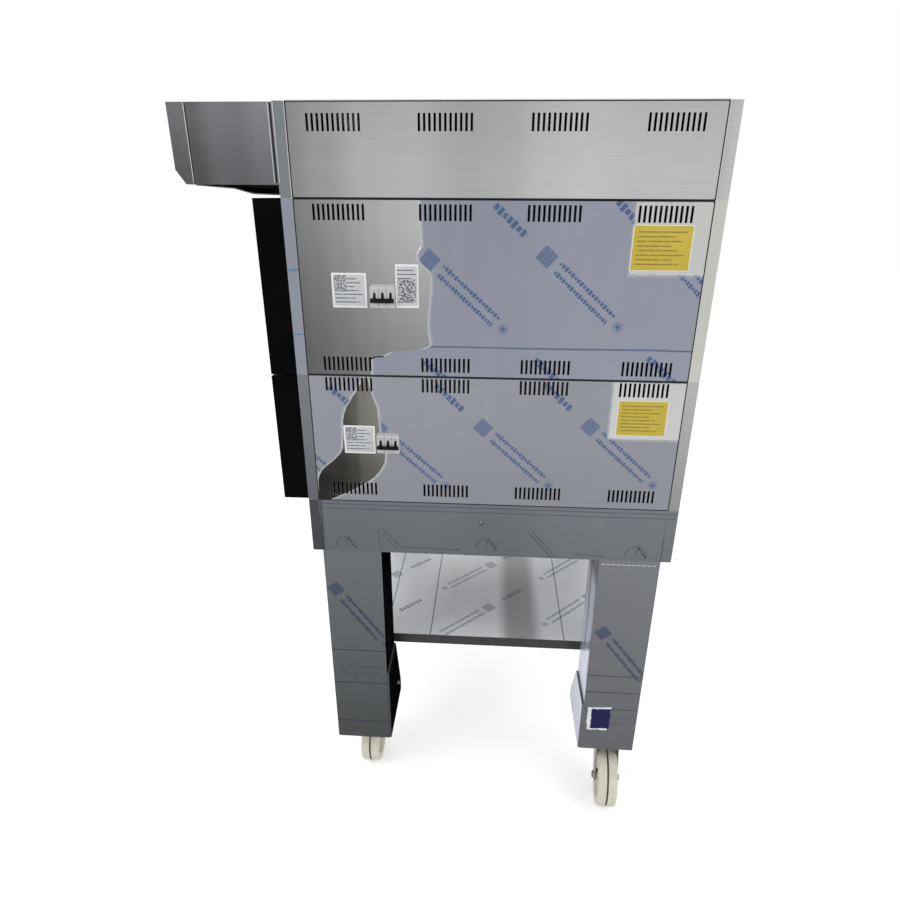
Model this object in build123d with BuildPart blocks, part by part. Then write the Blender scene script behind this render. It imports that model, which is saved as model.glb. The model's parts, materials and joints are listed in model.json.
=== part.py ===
from build123d import *
import os
from math import cos, radians, sin

os.makedirs("parts", exist_ok=True)

# A double deck electric oven on a wheeled stand, with a hood module on top.
# Millimetres. +Z is up, the doors face -Y, and the breakers are on the +X side.
# The origin is on the floor, under the middle of the whole outline.

# Overall body
body_width = 1050
body_depth = 900
sheet = 2
corner_strip = 25
seam = 1.5
fit_gap = 0.3
running_gap = 0.06
small_sides = 12
rod_sides = 8

# Heights of the modules, from the floor up
caster_height = 205
leg_height = 630
base_height = 143
lower_height = 319
upper_height = 372
hood_height = 176

# Stand
leg_wide = 150
leg_deep = 135
foot_deep = 200
foot_ledge = 5
foot_plate = 6
leg_cap = 4
foot_straight = 40
front_foot_height = 233
rear_foot_height = 160
rail_flange = 40
shelf_level = 269
shelf_lip = 31
shelf_margin = 40

# Casters
wheel_radius = 80
wheel_width = 54
wheel_groove = 4
wheel_groove_depth = 9
wheel_sides = 28
wheel_web = 34
recess_radius = 58
recess_sides = 14
hub_radius = 17
axle_radius = 6
trail = 58
caster_inset = 76
rear_caster_shift = 18
half_turn = 180
front_swing = 180
rear_swing = 5
mount_plate_length = 120
mount_plate_width = 105
mount_plate_thick = 6
swivel_head_radius = 38
swivel_head_height = 13
king_radius = 6
king_head_radius = 11
king_head_height = 4
fork_sheet = 4
fork_crown = 5
fork_eye = 17
fork_knee = 15
fork_cheek_gap = 2.5
axle_head_radius = 11
axle_head_height = 6

# Black front of each deck
front_depth = 60
lower_front_rise = 4
lower_front_drop = 5.5
upper_front_rise = -1
upper_front_drop = 0
control_column = 235
door_height = 215
door_shell = 24
door_back_gap = 2
plug_inset = 12
door_gap = 3
door_bottom_gap = 4
door_left_margin = 45
hinge_inset = 8
hinge_pin_radius = 4
hinge_pin_length = 6
window_width = 560
window_height = 96
glass_thick = 5
glass_lap = 12
handle_high = 22
handle_thick = 12
handle_chamfer = 4
handle_reach = 45
handle_length = 560
handle_drop = 31
standoff_wide = 12
standoff_inset = 30

# Chamber of each deck
chamber_depth = 720
chamber_height = 180
stone_level = 40
stone_thick = 20
stone_count = 2
stone_gap = 3
ledge_width = 18
ledge_thick = 2
mouth_margin = 25
mouth_rise = 36
mouth_flange = 12
insulation = 50
element_radius = 4.5
element_count = 3
element_wall_gap = 40
top_element_drop = 22
bottom_element_rise = 8
lamp_wide = 70
lamp_high = 40
lamp_out = 14
lamp_setback = 120
fitting_drop = 70
probe_radius = 3
probe_length = 90
probe_nut_radius = 8
probe_nut_length = 6
probe_inset = 90
lower_door_rise = 48
upper_door_rise = 66

# Controls
control_inset = 112
knob_radius = 23
knob_height = 22
knob_sides = 20
grip_radius = 17
knob_skirt = 5
pointer_wide = 5
pointer_long = 28
pointer_out = 3
shaft_radius = 3
shaft_length = 14
shaft_hole_gap = 0.5
upper_knob_rise = 170
lower_knob_rise = 100
switch_rise = 38
thermostat_depth = 28
thermostat_body = 34
pilot_wide = 12
pilot_high = 8
pilot_rise = 135
pilot_spacing = 20
pilot_out = 2
switch_depth = 14
switch_wide = 22
switch_high = 32
bezel_lap = 3
bezel_thick = 1.5
rocker_wide = 13
rocker_half = 10
rocker_room = 2
rocker_tilt = 8
rocker_pivot = 2
rocker_front = 5.5
rocker_dip = 4
rocker_back = 3

# Breaker in the right side panel
breaker_wide = 54
nose_high = 45
nose_out = 2
breaker_high = 85
breaker_deep = 58
cutout_high = 51
breaker_setback = 203.5
lower_breaker_rise = 153
upper_breaker_rise = 175
cutout_lift = 3
toggle_count = 3
toggle_slot_high = 20
toggle_slot_deep = 13
toggle_pitch = 17.6
toggle_wide = 5.4
toggle_thick = 4
toggle_hub = 4
toggle_inset = 6
toggle_reach = 15
toggle_down = 25
tie_high = 7
tie_deep = 5

# Vent slots
slot_wide = 5
slot_high = 32
slot_pitch = 10.3
slot_count = 11
slot_groups = 4
first_slot = 66.5
hood_row_drop = 37.5
lower_top_row_drop = 21
lower_bottom_row_rise = 35
upper_top_row_drop = 26
upper_bottom_row_rise = 27
panel_flange = 14

# Hood and canopy
canopy_reach = 213
canopy_strip = 37
canopy_drop = 1.5
canopy_clearance = 25
canopy_chamfer_back = 19
canopy_chamfer_rise = 28
canopy_lip = 36
tray_tab = 12
tray_shallow = 8
tray_deep = 18
tray_bend_one = 95
tray_bend_two = 57
intake_count = 12
intake_length = 50
intake_width = 12
duct_radius = 75
duct_height = 50
duct_flange = 18
duct_window_width = 640
duct_window_height = 70

# Cable glands
gland_radius = 16
gland_reach = 20
gland_neck = 12
gland_neck_length = 6
gland_bore = 9
gland_rise = 70
gland_inset = 120

# Places that follow from the sizes above
half_width = body_width / 2
overall_depth = canopy_reach + body_depth + gland_reach
y_canopy = -overall_depth / 2
y_body = y_canopy + canopy_reach
y_back = y_body + body_depth
y_middle = (y_body + y_back) / 2
y_front = y_body - front_depth
z_foot = caster_height
z_base = z_foot + leg_height
z_lower = z_base + base_height
z_upper = z_lower + lower_height
z_hood = z_upper + upper_height
z_top = z_hood + hood_height
side_panel_depth = body_depth - 2 * (corner_strip + seam)
group_pitch = (body_depth - 2 * first_slot - slot_pitch * (slot_count - 1)) / (slot_groups - 1)
door_width = body_width - door_left_margin - control_column
door_left = -half_width + door_left_margin
door_right = door_left + door_width
door_middle = (door_left + door_right) / 2
chamber_width = door_width - 2 * mouth_margin
control_x = half_width - control_inset


def facing_front(y):
    """A sketch plane at depth y whose normal points to the front, X across and Z up."""
    return Plane.XZ.offset(-y)


def facing_side(x):
    """A sketch plane at x whose normal points along +X, Y across and Z up."""
    return Plane.YZ.offset(x)


def save(name, builder):
    """Label a finished piece and write it under its own name."""
    builder.part.label = name
    export_step(builder.part, f"parts/{name}.step")


def save_together(name, *builders):
    """Write pieces that are fastened for good as one node of separate solids."""
    together = Compound([solid for builder in builders for solid in builder.part.solids()])
    together.label = name
    export_step(together, f"parts/{name}.step")


def few_sided(radius, sides=small_sides):
    """A small round in a repeated piece, drawn as a polygon with its corners on the circle."""
    RegularPolygon(radius, sides)


def few_sided_bore(radius):
    """A small bore drawn as a polygon with its flats on the circle, so that a round fits in it."""
    RegularPolygon(radius, small_sides, major_radius=False)


def mirror_to_left(builder):
    """The left hand copy of a piece that was made for the right hand side."""
    with BuildPart() as left:
        mirror(builder.part, about=Plane.YZ)
    return left


def wrapped_panel(y_face, inward, z_low, height):
    """A folded sheet across the body whose two ends turn round the sides as corner strips."""
    across = inward * half_width
    with BuildSketch(Plane.XY.offset(z_low)) as profile:
        with BuildLine():
            Polyline(
                (-across, y_face + inward * corner_strip),
                (-across, y_face),
                (across, y_face),
                (across, y_face + inward * corner_strip),
            )
            offset(amount=sheet, side=Side.LEFT, kind=Kind.INTERSECTION)
        make_face()
    extrude(profile.sketch, amount=height)


def floor_sheet(z_low):
    """The floor of a module, set back from the side faces so that the seam reads dark."""
    with BuildSketch(Plane.XY.offset(z_low)) as profile:
        with Locations((0, y_middle)):
            Rectangle(body_width - 2 * sheet, body_depth - 2 * sheet)
    extrude(profile.sketch, amount=sheet)


def cross_flange(y_face, inward, z_low, depth):
    """A flat flange along a front or rear panel, turned into the body."""
    with BuildSketch(Plane.XY.offset(z_low)) as profile:
        with Locations((0, y_face + inward * depth / 2)):
            Rectangle(body_width - 2 * sheet, depth)
    extrude(profile.sketch, amount=sheet)


# Vent slotted side panels

def side_panel(z_low, height, row_levels=(), cutout_level=None):
    """One right hand side panel: a flanged sheet, with its rows of upright slots in four groups."""
    z_bottom = z_low + sheet
    panel_height = height - 2 * sheet
    with BuildPart() as panel:
        with BuildSketch(facing_front(y_body + corner_strip + seam)):
            with BuildLine():
                Polyline(
                    (half_width - panel_flange, z_bottom),
                    (half_width, z_bottom),
                    (half_width, z_bottom + panel_height),
                    (half_width - panel_flange, z_bottom + panel_height),
                )
                offset(amount=sheet, side=Side.LEFT, kind=Kind.INTERSECTION)
            make_face()
        extrude(amount=-side_panel_depth)
        for level in row_levels:
            with BuildSketch(facing_side(half_width)):
                with Locations((y_middle, level)):
                    with GridLocations(group_pitch, slot_high, slot_groups, 1):
                        with GridLocations(slot_pitch, slot_high, slot_count, 1):
                            Rectangle(slot_wide, slot_high)
            extrude(amount=-sheet, mode=Mode.SUBTRACT)
        if cutout_level is not None:
            with BuildSketch(facing_side(half_width)):
                with Locations((y_body + breaker_setback, cutout_level)):
                    Rectangle(breaker_wide + 2 * fit_gap, cutout_high)
            extrude(amount=-sheet, mode=Mode.SUBTRACT)
    return panel


# Stand

def build_base_frame():
    """Four folded rails that carry the lower deck."""
    with BuildPart() as front_rail:
        wrapped_panel(y_body, 1, z_base, base_height)
        cross_flange(y_body, 1, z_base, corner_strip)
        cross_flange(y_body, 1, z_lower - sheet, corner_strip)
    save("base_front_rail", front_rail)

    with BuildPart() as rear_rail:
        wrapped_panel(y_back, -1, z_base, base_height)
        cross_flange(y_back, -1, z_base, corner_strip)
        cross_flange(y_back, -1, z_lower - sheet, corner_strip)
    save("base_rear_rail", rear_rail)

    with BuildPart() as right_rail:
        with BuildSketch(facing_front(y_body + corner_strip + seam)):
            with BuildLine():
                Polyline(
                    (half_width - rail_flange, z_base),
                    (half_width, z_base),
                    (half_width, z_lower),
                    (half_width - rail_flange, z_lower),
                )
                offset(amount=sheet, side=Side.LEFT, kind=Kind.INTERSECTION)
            make_face()
        extrude(amount=-side_panel_depth)
    save("base_right_rail", right_rail)
    save("base_left_rail", mirror_to_left(right_rail))


def build_leg(y_outer, inward, foot_height):
    """A folded square leg with a cap plate, whose foot flares inwards over the caster."""
    x_inner = half_width - leg_deep
    x_flare = half_width - foot_deep
    z_flare = z_foot + foot_height
    z_straight = z_foot + foot_straight
    y_near = min(y_outer, y_outer + inward * leg_wide)
    y_ledge = min(y_outer, y_outer + inward * (leg_wide + foot_ledge))
    with BuildPart() as leg:
        with BuildSketch(facing_front(y_near)):
            with BuildLine():
                Polyline(
                    (half_width, z_foot),
                    (half_width, z_base),
                    (x_inner, z_base),
                    (x_inner, z_flare),
                    (x_flare, z_straight),
                    (x_flare, z_foot),
                    close=True,
                )
            make_face()
        extrude(amount=-leg_wide)
        with BuildSketch(facing_front(y_ledge)):
            with BuildLine():
                Polyline(
                    (half_width - sheet, z_foot),
                    (half_width - sheet, z_flare),
                    (x_inner, z_flare),
                    (x_flare, z_straight),
                    (x_flare, z_foot),
                    close=True,
                )
            make_face()
        extrude(amount=-(leg_wide + foot_ledge))
        with BuildSketch(facing_front(y_near + sheet)):
            with BuildLine():
                Polyline(
                    (half_width - sheet, z_foot + foot_plate),
                    (half_width - sheet, z_base - leg_cap),
                    (x_inner + sheet, z_base - leg_cap),
                    (x_inner + sheet, z_flare),
                    (x_flare + sheet, z_straight),
                    (x_flare + sheet, z_foot + foot_plate),
                    close=True,
                )
            make_face()
        extrude(amount=-(leg_wide - 2 * sheet), mode=Mode.SUBTRACT)
    return leg


def build_legs():
    """Four legs, flush with the side rails and one corner strip in from front and back."""
    front_leg = build_leg(y_body + corner_strip, 1, front_foot_height)
    rear_leg = build_leg(y_back - corner_strip, -1, rear_foot_height)
    save("leg_front_right", front_leg)
    save("leg_front_left", mirror_to_left(front_leg))
    save("leg_rear_right", rear_leg)
    save("leg_rear_left", mirror_to_left(rear_leg))


def build_shelf():
    """A tray with turned down edges, held between the inner faces of the legs."""
    z_shelf = z_foot + shelf_level
    shelf_width = body_width - 2 * leg_deep
    shelf_depth = body_depth - 2 * shelf_margin
    with BuildPart() as shelf:
        with BuildSketch(Plane.XY.offset(z_shelf)):
            with Locations((0, y_middle)):
                Rectangle(shelf_width, shelf_depth)
        extrude(amount=-shelf_lip)
        with BuildSketch(Plane.XY.offset(z_shelf - sheet)):
            with Locations((0, y_middle)):
                Rectangle(shelf_width - 2 * sheet, shelf_depth - 2 * sheet)
        extrude(amount=-shelf_lip, mode=Mode.SUBTRACT)
    save("stand_shelf", shelf)


# Casters

z_plate = z_foot - mount_plate_thick
z_head = z_plate - swivel_head_height
z_crown = z_head - fit_gap
caster_x = half_width - caster_inset
caster_front_y = y_body + corner_strip + leg_wide / 2
caster_rear_y = y_back - corner_strip - leg_wide / 2 + rear_caster_shift
caster_places = {
    "front_right": (caster_x, caster_front_y, front_swing),
    "front_left": (-caster_x, caster_front_y, front_swing + half_turn),
    "rear_right": (caster_x, caster_rear_y, -rear_swing),
    "rear_left": (-caster_x, caster_rear_y, half_turn + rear_swing),
}


def build_caster_plates():
    """The four bolted top plates with their swivel heads and king pins."""
    with BuildPart() as plates:
        for x, y, heading in caster_places.values():
            with BuildSketch(Plane.XY.offset(z_foot)):
                with Locations((x, y)):
                    Rectangle(mount_plate_length, mount_plate_width)
            extrude(amount=-mount_plate_thick)
            with BuildSketch(Plane.XY.offset(z_plate)):
                with Locations((x, y)):
                    few_sided(swivel_head_radius, 2 * small_sides)
            extrude(amount=-swivel_head_height)
            with BuildSketch(Plane.XY.offset(z_head)):
                with Locations((x, y)):
                    few_sided(king_radius)
            extrude(amount=-(fork_crown + 2 * fit_gap))
            with BuildSketch(Plane.XY.offset(z_crown - fork_crown - fit_gap)):
                with Locations((x, y)):
                    RegularPolygon(king_head_radius, 6)
            extrude(amount=-king_head_height)
    save("caster_plates", plates)


def build_caster(name, x, y, heading):
    """One fork with its axle bolt, and the two-half wheel that turns on it."""
    ahead = (cos(radians(heading)), sin(radians(heading)), 0)
    sideways = (sin(radians(heading)), -cos(radians(heading)), 0)
    cheek_out = wheel_width / 2 + fork_cheek_gap
    axle_drop = z_crown - wheel_radius
    upright = Plane(origin=(x, y, z_crown), x_dir=ahead, z_dir=sideways)
    flat = Plane(origin=(x, y, z_crown), x_dir=ahead, z_dir=(0, 0, 1))
    rolling = Plane(
        origin=(x + trail * ahead[0], y + trail * ahead[1], wheel_radius),
        x_dir=ahead,
        z_dir=sideways,
    )

    with BuildPart() as fork:
        with BuildSketch(flat):
            Rectangle(2 * swivel_head_radius, 2 * (cheek_out + fork_sheet))
        extrude(amount=-fork_crown)
        with BuildSketch(flat):
            few_sided_bore(king_radius + running_gap)
        extrude(amount=-fork_crown, mode=Mode.SUBTRACT)
        for side in (-1, 1):
            inner = side * cheek_out
            with BuildSketch(upright.offset(inner)):
                with BuildLine():
                    Polyline(
                        (-swivel_head_radius, 0),
                        (swivel_head_radius, 0),
                        (trail + fork_eye, -axle_drop + fork_eye),
                        (trail + fork_eye, -axle_drop - fork_eye / 2),
                        (trail + fork_eye / 2, -axle_drop - fork_eye),
                        (trail - fork_eye / 2, -axle_drop - fork_eye),
                        (-swivel_head_radius, -fork_knee),
                        close=True,
                    )
                make_face()
            extrude(amount=side * fork_sheet)
        with BuildSketch(upright.offset(-cheek_out)):
            with Locations((trail, -axle_drop)):
                few_sided(axle_radius)
        extrude(amount=2 * cheek_out)
        for side in (-1, 1):
            with BuildSketch(upright.offset(side * (cheek_out + fork_sheet))):
                with Locations((trail, -axle_drop)):
                    RegularPolygon(axle_head_radius, 6)
            extrude(amount=side * axle_head_height)
    save(f"caster_fork_{name}", fork)

    half = wheel_width / 2
    tread = half - wheel_groove / 2
    flat_down = half_turn / wheel_sides
    with BuildPart() as wheel:
        with BuildSketch(rolling.offset(-half)):
            few_sided(wheel_radius - wheel_groove_depth, wheel_sides)
        extrude(amount=wheel_width)
        for side in (-1, 1):
            with BuildSketch(rolling.offset(side * wheel_groove / 2)):
                RegularPolygon(wheel_radius, wheel_sides, major_radius=False, rotation=flat_down)
            extrude(amount=side * tread)
            with BuildSketch(rolling.offset(side * wheel_web / 2)):
                few_sided(recess_radius, recess_sides)
                RegularPolygon(hub_radius, small_sides, mode=Mode.SUBTRACT)
            extrude(amount=side * tread, mode=Mode.SUBTRACT)
        with BuildSketch(rolling.offset(-half)):
            few_sided_bore(axle_radius + running_gap)
        extrude(amount=wheel_width, mode=Mode.SUBTRACT)
    save(f"caster_wheel_{name}", wheel)


# Decks

def build_carcass(deck, z_low, height, door_rise):
    """Floor, front frame with the chamber mouth, and rear panel, welded into one carcass."""
    z_mouth = z_low + door_rise + mouth_rise
    mouth_height = chamber_height - stone_level
    with BuildPart() as carcass:
        wrapped_panel(y_body, 1, z_low, height)
        wrapped_panel(y_back, -1, z_low, height)
        floor_sheet(z_low)
        cross_flange(y_body, 1, z_low + height - sheet, corner_strip)
        cross_flange(y_back, -1, z_low + height - sheet, corner_strip)
        with BuildSketch(facing_front(y_body)):
            with Locations((door_middle, z_mouth + mouth_height / 2)):
                Rectangle(chamber_width, mouth_height)
            with Locations((control_x, z_low + door_rise + door_height / 2)):
                Rectangle(control_inset, door_height * 3 / 4)
        extrude(amount=-sheet, mode=Mode.SUBTRACT)
        with BuildSketch(facing_front(y_back)):
            with Locations((half_width - gland_inset, z_low + gland_rise)):
                Circle(gland_neck)
        extrude(amount=sheet, mode=Mode.SUBTRACT)
    save(f"{deck}_carcass", carcass)


def build_chamber(deck, z_low, door_rise):
    """The welded baking chamber, open at its mouth, with a flange and two stone ledges."""
    z_stone = z_low + door_rise + mouth_rise
    z_floor = z_stone - stone_level
    y_mouth = y_body + sheet
    with BuildPart() as chamber:
        with BuildSketch(facing_front(y_mouth)):
            with Locations((door_middle, z_floor + chamber_height / 2)):
                Rectangle(chamber_width + 2 * sheet, chamber_height + 2 * sheet)
        extrude(amount=-(chamber_depth + sheet))
        with BuildSketch(facing_front(y_mouth)):
            with Locations((door_middle, z_floor + chamber_height / 2)):
                Rectangle(chamber_width + 2 * mouth_flange, chamber_height + 2 * mouth_flange)
        extrude(amount=-sheet)
        with BuildSketch(facing_front(y_mouth)):
            with Locations((door_middle, z_floor + chamber_height / 2)):
                Rectangle(chamber_width, chamber_height)
        extrude(amount=-chamber_depth, mode=Mode.SUBTRACT)
        with BuildSketch(facing_front(y_mouth)):
            for side in (-1, 1):
                with Locations((door_middle + side * (chamber_width - ledge_width) / 2,
                                z_stone - stone_thick - ledge_thick / 2)):
                    Rectangle(ledge_width, ledge_thick)
        extrude(amount=-chamber_depth)
    save(f"{deck}_chamber", chamber)

    with BuildPart() as jacket:
        with BuildSketch(facing_front(y_mouth + sheet)):
            with Locations((door_middle, z_low + sheet)):
                Rectangle(
                    chamber_width + 2 * (sheet + insulation),
                    z_floor + chamber_height + insulation - z_low,
                    align=(Align.CENTER, Align.MIN),
                )
        extrude(amount=-(chamber_depth + insulation))
        with BuildSketch(facing_front(y_mouth + sheet)):
            with Locations((door_middle, z_floor + chamber_height / 2)):
                Rectangle(chamber_width + 2 * sheet, chamber_height + 2 * sheet)
        extrude(amount=-chamber_depth, mode=Mode.SUBTRACT)
    save(f"{deck}_insulation", jacket)

    stone_wide = (chamber_width - 2 * fit_gap - (stone_count - 1) * stone_gap) / stone_count
    with BuildPart() as stones:
        with BuildSketch(Plane.XY.offset(z_stone - stone_thick)):
            with Locations((door_middle, y_mouth + chamber_depth / 2)):
                with GridLocations(stone_wide + stone_gap, 1, stone_count, 1):
                    Rectangle(stone_wide, chamber_depth - 4 * fit_gap)
        extrude(amount=stone_thick)
    save(f"{deck}_baking_stones", stones)

    y_rear = y_mouth + chamber_depth
    spread = chamber_width / (element_count + 1)
    z_top_elements = z_floor + chamber_height - top_element_drop
    with BuildPart() as elements:
        for level in (z_floor + bottom_element_rise, z_top_elements):
            with BuildSketch(facing_front(y_rear)):
                with Locations((door_middle, level)):
                    with GridLocations(spread, 1, element_count, 1):
                        few_sided(element_radius, rod_sides)
            extrude(amount=chamber_depth - element_wall_gap)
    save(f"{deck}_heating_elements", elements)

    x_wall = door_middle + chamber_width / 2
    z_fittings = z_floor + chamber_height - fitting_drop
    with BuildPart() as fittings:
        with BuildSketch(facing_side(x_wall)):
            with Locations((y_rear - lamp_setback, z_fittings)):
                Rectangle(lamp_wide, lamp_high)
        extrude(amount=-lamp_out)
        with BuildSketch(facing_front(y_rear)):
            with Locations((x_wall - probe_inset, z_fittings)):
                RegularPolygon(probe_nut_radius, 6)
        extrude(amount=probe_nut_length)
        with BuildSketch(facing_front(y_rear - probe_nut_length)):
            with Locations((x_wall - probe_inset, z_fittings)):
                few_sided(probe_radius, rod_sides)
        extrude(amount=probe_length)
    save(f"{deck}_lamp_and_probe", fittings)


def build_front(deck, z_low, door_rise, z_front, front_high):
    """The black fixed front with its door opening, and the controls mounted in it."""
    z_door = z_low + door_rise
    z_door_middle = z_door + (door_height + door_gap - door_bottom_gap) / 2
    opening_wide = door_width + 2 * door_gap
    opening_high = door_height + door_gap + door_bottom_gap
    z_switch = z_door + switch_rise
    with BuildPart() as surround:
        with BuildSketch(facing_front(y_front)):
            with Locations((0, z_front + front_high / 2)):
                Rectangle(body_width, front_high)
        extrude(amount=-front_depth)
        with BuildSketch(facing_front(y_front + sheet)):
            with Locations((0, z_front + front_high / 2)):
                Rectangle(body_width - 2 * sheet, front_high - 2 * sheet)
        extrude(amount=-front_depth, mode=Mode.SUBTRACT)
        with BuildSketch(facing_front(y_front)):
            with Locations((door_middle, z_door_middle)):
                Rectangle(opening_wide + 2 * sheet, opening_high + 2 * sheet)
        extrude(amount=-front_depth)
        with BuildSketch(facing_front(y_front)):
            with Locations((door_middle, z_door_middle)):
                Rectangle(opening_wide, opening_high)
        extrude(amount=-front_depth, mode=Mode.SUBTRACT)
        with BuildSketch(facing_side(door_middle)):
            with Locations((y_front + hinge_inset, z_door + hinge_inset)):
                few_sided_bore(hinge_pin_radius + running_gap)
        extrude(amount=opening_wide / 2 + sheet, both=True, mode=Mode.SUBTRACT)
        with BuildSketch(facing_front(y_front)):
            for rise in (lower_knob_rise, upper_knob_rise):
                with Locations((control_x, z_door + rise)):
                    few_sided_bore(shaft_radius + shaft_hole_gap)
            with Locations((control_x, z_switch)):
                Rectangle(switch_wide + 2 * fit_gap, switch_high + 2 * fit_gap)
            with Locations((control_x, z_door + pilot_rise)):
                with GridLocations(pilot_spacing, 1, 2, 1):
                    Rectangle(pilot_wide + 2 * running_gap, pilot_high + 2 * running_gap)
        extrude(amount=-sheet, mode=Mode.SUBTRACT)
    save(f"{deck}_front", surround)

    y_behind = y_front + sheet
    pocket_depth = bezel_thick + rocker_pivot + rocker_back + fit_gap
    with BuildPart() as controls:
        for rise in (lower_knob_rise, upper_knob_rise):
            with BuildSketch(facing_front(y_behind)):
                with Locations((control_x, z_door + rise)):
                    Rectangle(thermostat_body, thermostat_body)
            extrude(amount=-thermostat_depth)
            with BuildSketch(facing_front(y_behind)):
                with Locations((control_x, z_door + rise)):
                    few_sided_bore(shaft_radius + running_gap)
            extrude(amount=-thermostat_depth, mode=Mode.SUBTRACT)
        with BuildSketch(facing_front(y_front)):
            with Locations((control_x, z_switch)):
                Rectangle(switch_wide + 2 * bezel_lap, switch_high + 2 * bezel_lap)
        extrude(amount=bezel_thick)
        with BuildSketch(facing_front(y_front)):
            with Locations((control_x, z_switch)):
                Rectangle(switch_wide, switch_high)
        extrude(amount=-switch_depth)
        with BuildSketch(facing_front(y_front - bezel_thick)):
            with Locations((control_x, z_switch)):
                Rectangle(rocker_wide + 2 * fit_gap, 2 * (rocker_half + rocker_room))
        extrude(amount=-pocket_depth, mode=Mode.SUBTRACT)
        with BuildSketch(facing_front(y_behind)):
            with Locations((control_x, z_door + pilot_rise)):
                with GridLocations(pilot_spacing, 1, 2, 1):
                    Rectangle(pilot_wide, pilot_high)
        extrude(amount=sheet + pilot_out)
    save(f"{deck}_controls", controls)

    rocker_plane = Plane(
        origin=(control_x - rocker_wide / 2, y_front + rocker_pivot, z_switch),
        x_dir=(0, cos(radians(rocker_tilt)), sin(radians(rocker_tilt))),
        z_dir=(1, 0, 0),
    )
    with BuildPart() as rocker:
        with BuildSketch(rocker_plane):
            with BuildLine():
                Polyline(
                    (-rocker_front, -rocker_half),
                    (-rocker_dip, 0),
                    (-rocker_front, rocker_half),
                    (0, rocker_half),
                    (rocker_back, 0),
                    (0, -rocker_half),
                    close=True,
                )
            make_face()
        extrude(amount=rocker_wide)
    save(f"{deck}_light_switch", rocker)

    for knob_name, rise in (("top_heat_knob", upper_knob_rise), ("bottom_heat_knob", lower_knob_rise)):
        y_knob = y_front - fit_gap
        with BuildPart() as knob:
            with BuildSketch(facing_front(y_knob)):
                with Locations((control_x, z_door + rise)):
                    few_sided(knob_radius, knob_sides)
            extrude(amount=knob_skirt)
            with BuildSketch(facing_front(y_knob - knob_skirt)):
                with Locations((control_x, z_door + rise)):
                    few_sided(grip_radius, small_sides)
            extrude(amount=knob_height - knob_skirt)
            with BuildSketch(facing_front(y_knob - knob_height)):
                with Locations((control_x, z_door + rise)):
                    Rectangle(pointer_wide, pointer_long)
            extrude(amount=pointer_out)
            with BuildSketch(facing_front(y_knob)):
                with Locations((control_x, z_door + rise)):
                    few_sided(shaft_radius)
            extrude(amount=-shaft_length)
        save(f"{deck}_{knob_name}", knob)


def build_door(deck, z_low, door_rise):
    """The drop-down door: shell with hinge pins, plug that closes the mouth, panes and handle."""
    z_door = z_low + door_rise
    z_window = z_door + door_height / 2
    glass_wide = window_width + 2 * glass_lap
    glass_high = window_height + 2 * glass_lap
    door_thick = front_depth - door_back_gap
    with BuildPart() as door:
        with BuildSketch(facing_side(door_left)):
            with Locations((y_front, z_door)):
                Rectangle(door_shell, door_height, align=(Align.MIN, Align.MIN))
        extrude(amount=door_width)
        bottom_edges = door.edges().filter_by(Axis.X).group_by(Axis.Z)[0]
        fillet(bottom_edges.sort_by(Axis.Y)[0], radius=hinge_inset - fit_gap)
        top_edges = door.edges().filter_by(Axis.X).group_by(Axis.Z)[-1]
        chamfer(top_edges.sort_by(Axis.Y)[0], length=sheet)
        with BuildSketch(facing_front(y_front + door_shell)):
            with Locations((door_middle, z_window)):
                Rectangle(door_width - 2 * plug_inset, door_height - 2 * plug_inset)
        extrude(amount=-(door_thick - door_shell))
        with BuildSketch(facing_front(y_front)):
            with Locations((door_middle, z_window)):
                Rectangle(window_width, window_height)
        extrude(amount=-door_thick, mode=Mode.SUBTRACT)
        for y_rebate in (y_front, y_front + door_thick - glass_thick):
            with BuildSketch(facing_front(y_rebate)):
                with Locations((door_middle, z_window)):
                    Rectangle(glass_wide + 2 * fit_gap, glass_high + 2 * fit_gap)
            extrude(amount=-glass_thick, mode=Mode.SUBTRACT)
        with BuildSketch(facing_front(y_front + sheet)):
            with Locations((door_middle, z_window)):
                Rectangle(
                    door_width - 2 * (plug_inset + sheet),
                    door_height - 2 * (plug_inset + sheet),
                )
                Rectangle(
                    glass_wide + 2 * (fit_gap + sheet),
                    glass_high + 2 * (fit_gap + sheet),
                    mode=Mode.SUBTRACT,
                )
        extrude(amount=-(door_thick - 2 * sheet), mode=Mode.SUBTRACT)
        for x_side, outward in ((door_left, -1), (door_right, 1)):
            with BuildSketch(facing_side(x_side)):
                with Locations((y_front + hinge_inset, z_door + hinge_inset)):
                    few_sided(hinge_pin_radius)
            extrude(amount=outward * hinge_pin_length)
    save(f"{deck}_door", door)

    with BuildPart() as panes:
        for y_pane in (y_front, y_front + door_thick - glass_thick):
            with BuildSketch(facing_front(y_pane)):
                with Locations((door_middle, z_window)):
                    Rectangle(glass_wide, glass_high)
            extrude(amount=-glass_thick)
    save(f"{deck}_door_glass", panes)

    z_handle = z_door + door_height - handle_drop
    y_handle = y_front - handle_reach
    with BuildPart() as handle:
        with BuildSketch(facing_side(door_middle)):
            with Locations((y_handle, z_handle)):
                Rectangle(handle_thick, handle_high)
            chamfer(vertices(), length=handle_chamfer)
        extrude(amount=handle_length / 2, both=True)
        with BuildSketch(facing_front(y_front)):
            with Locations((door_middle, z_handle)):
                with GridLocations(handle_length - 2 * standoff_inset, 1, 2, 1):
                    Rectangle(standoff_wide, standoff_wide)
        extrude(amount=handle_reach)
    save(f"{deck}_door_handle", handle)


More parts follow.
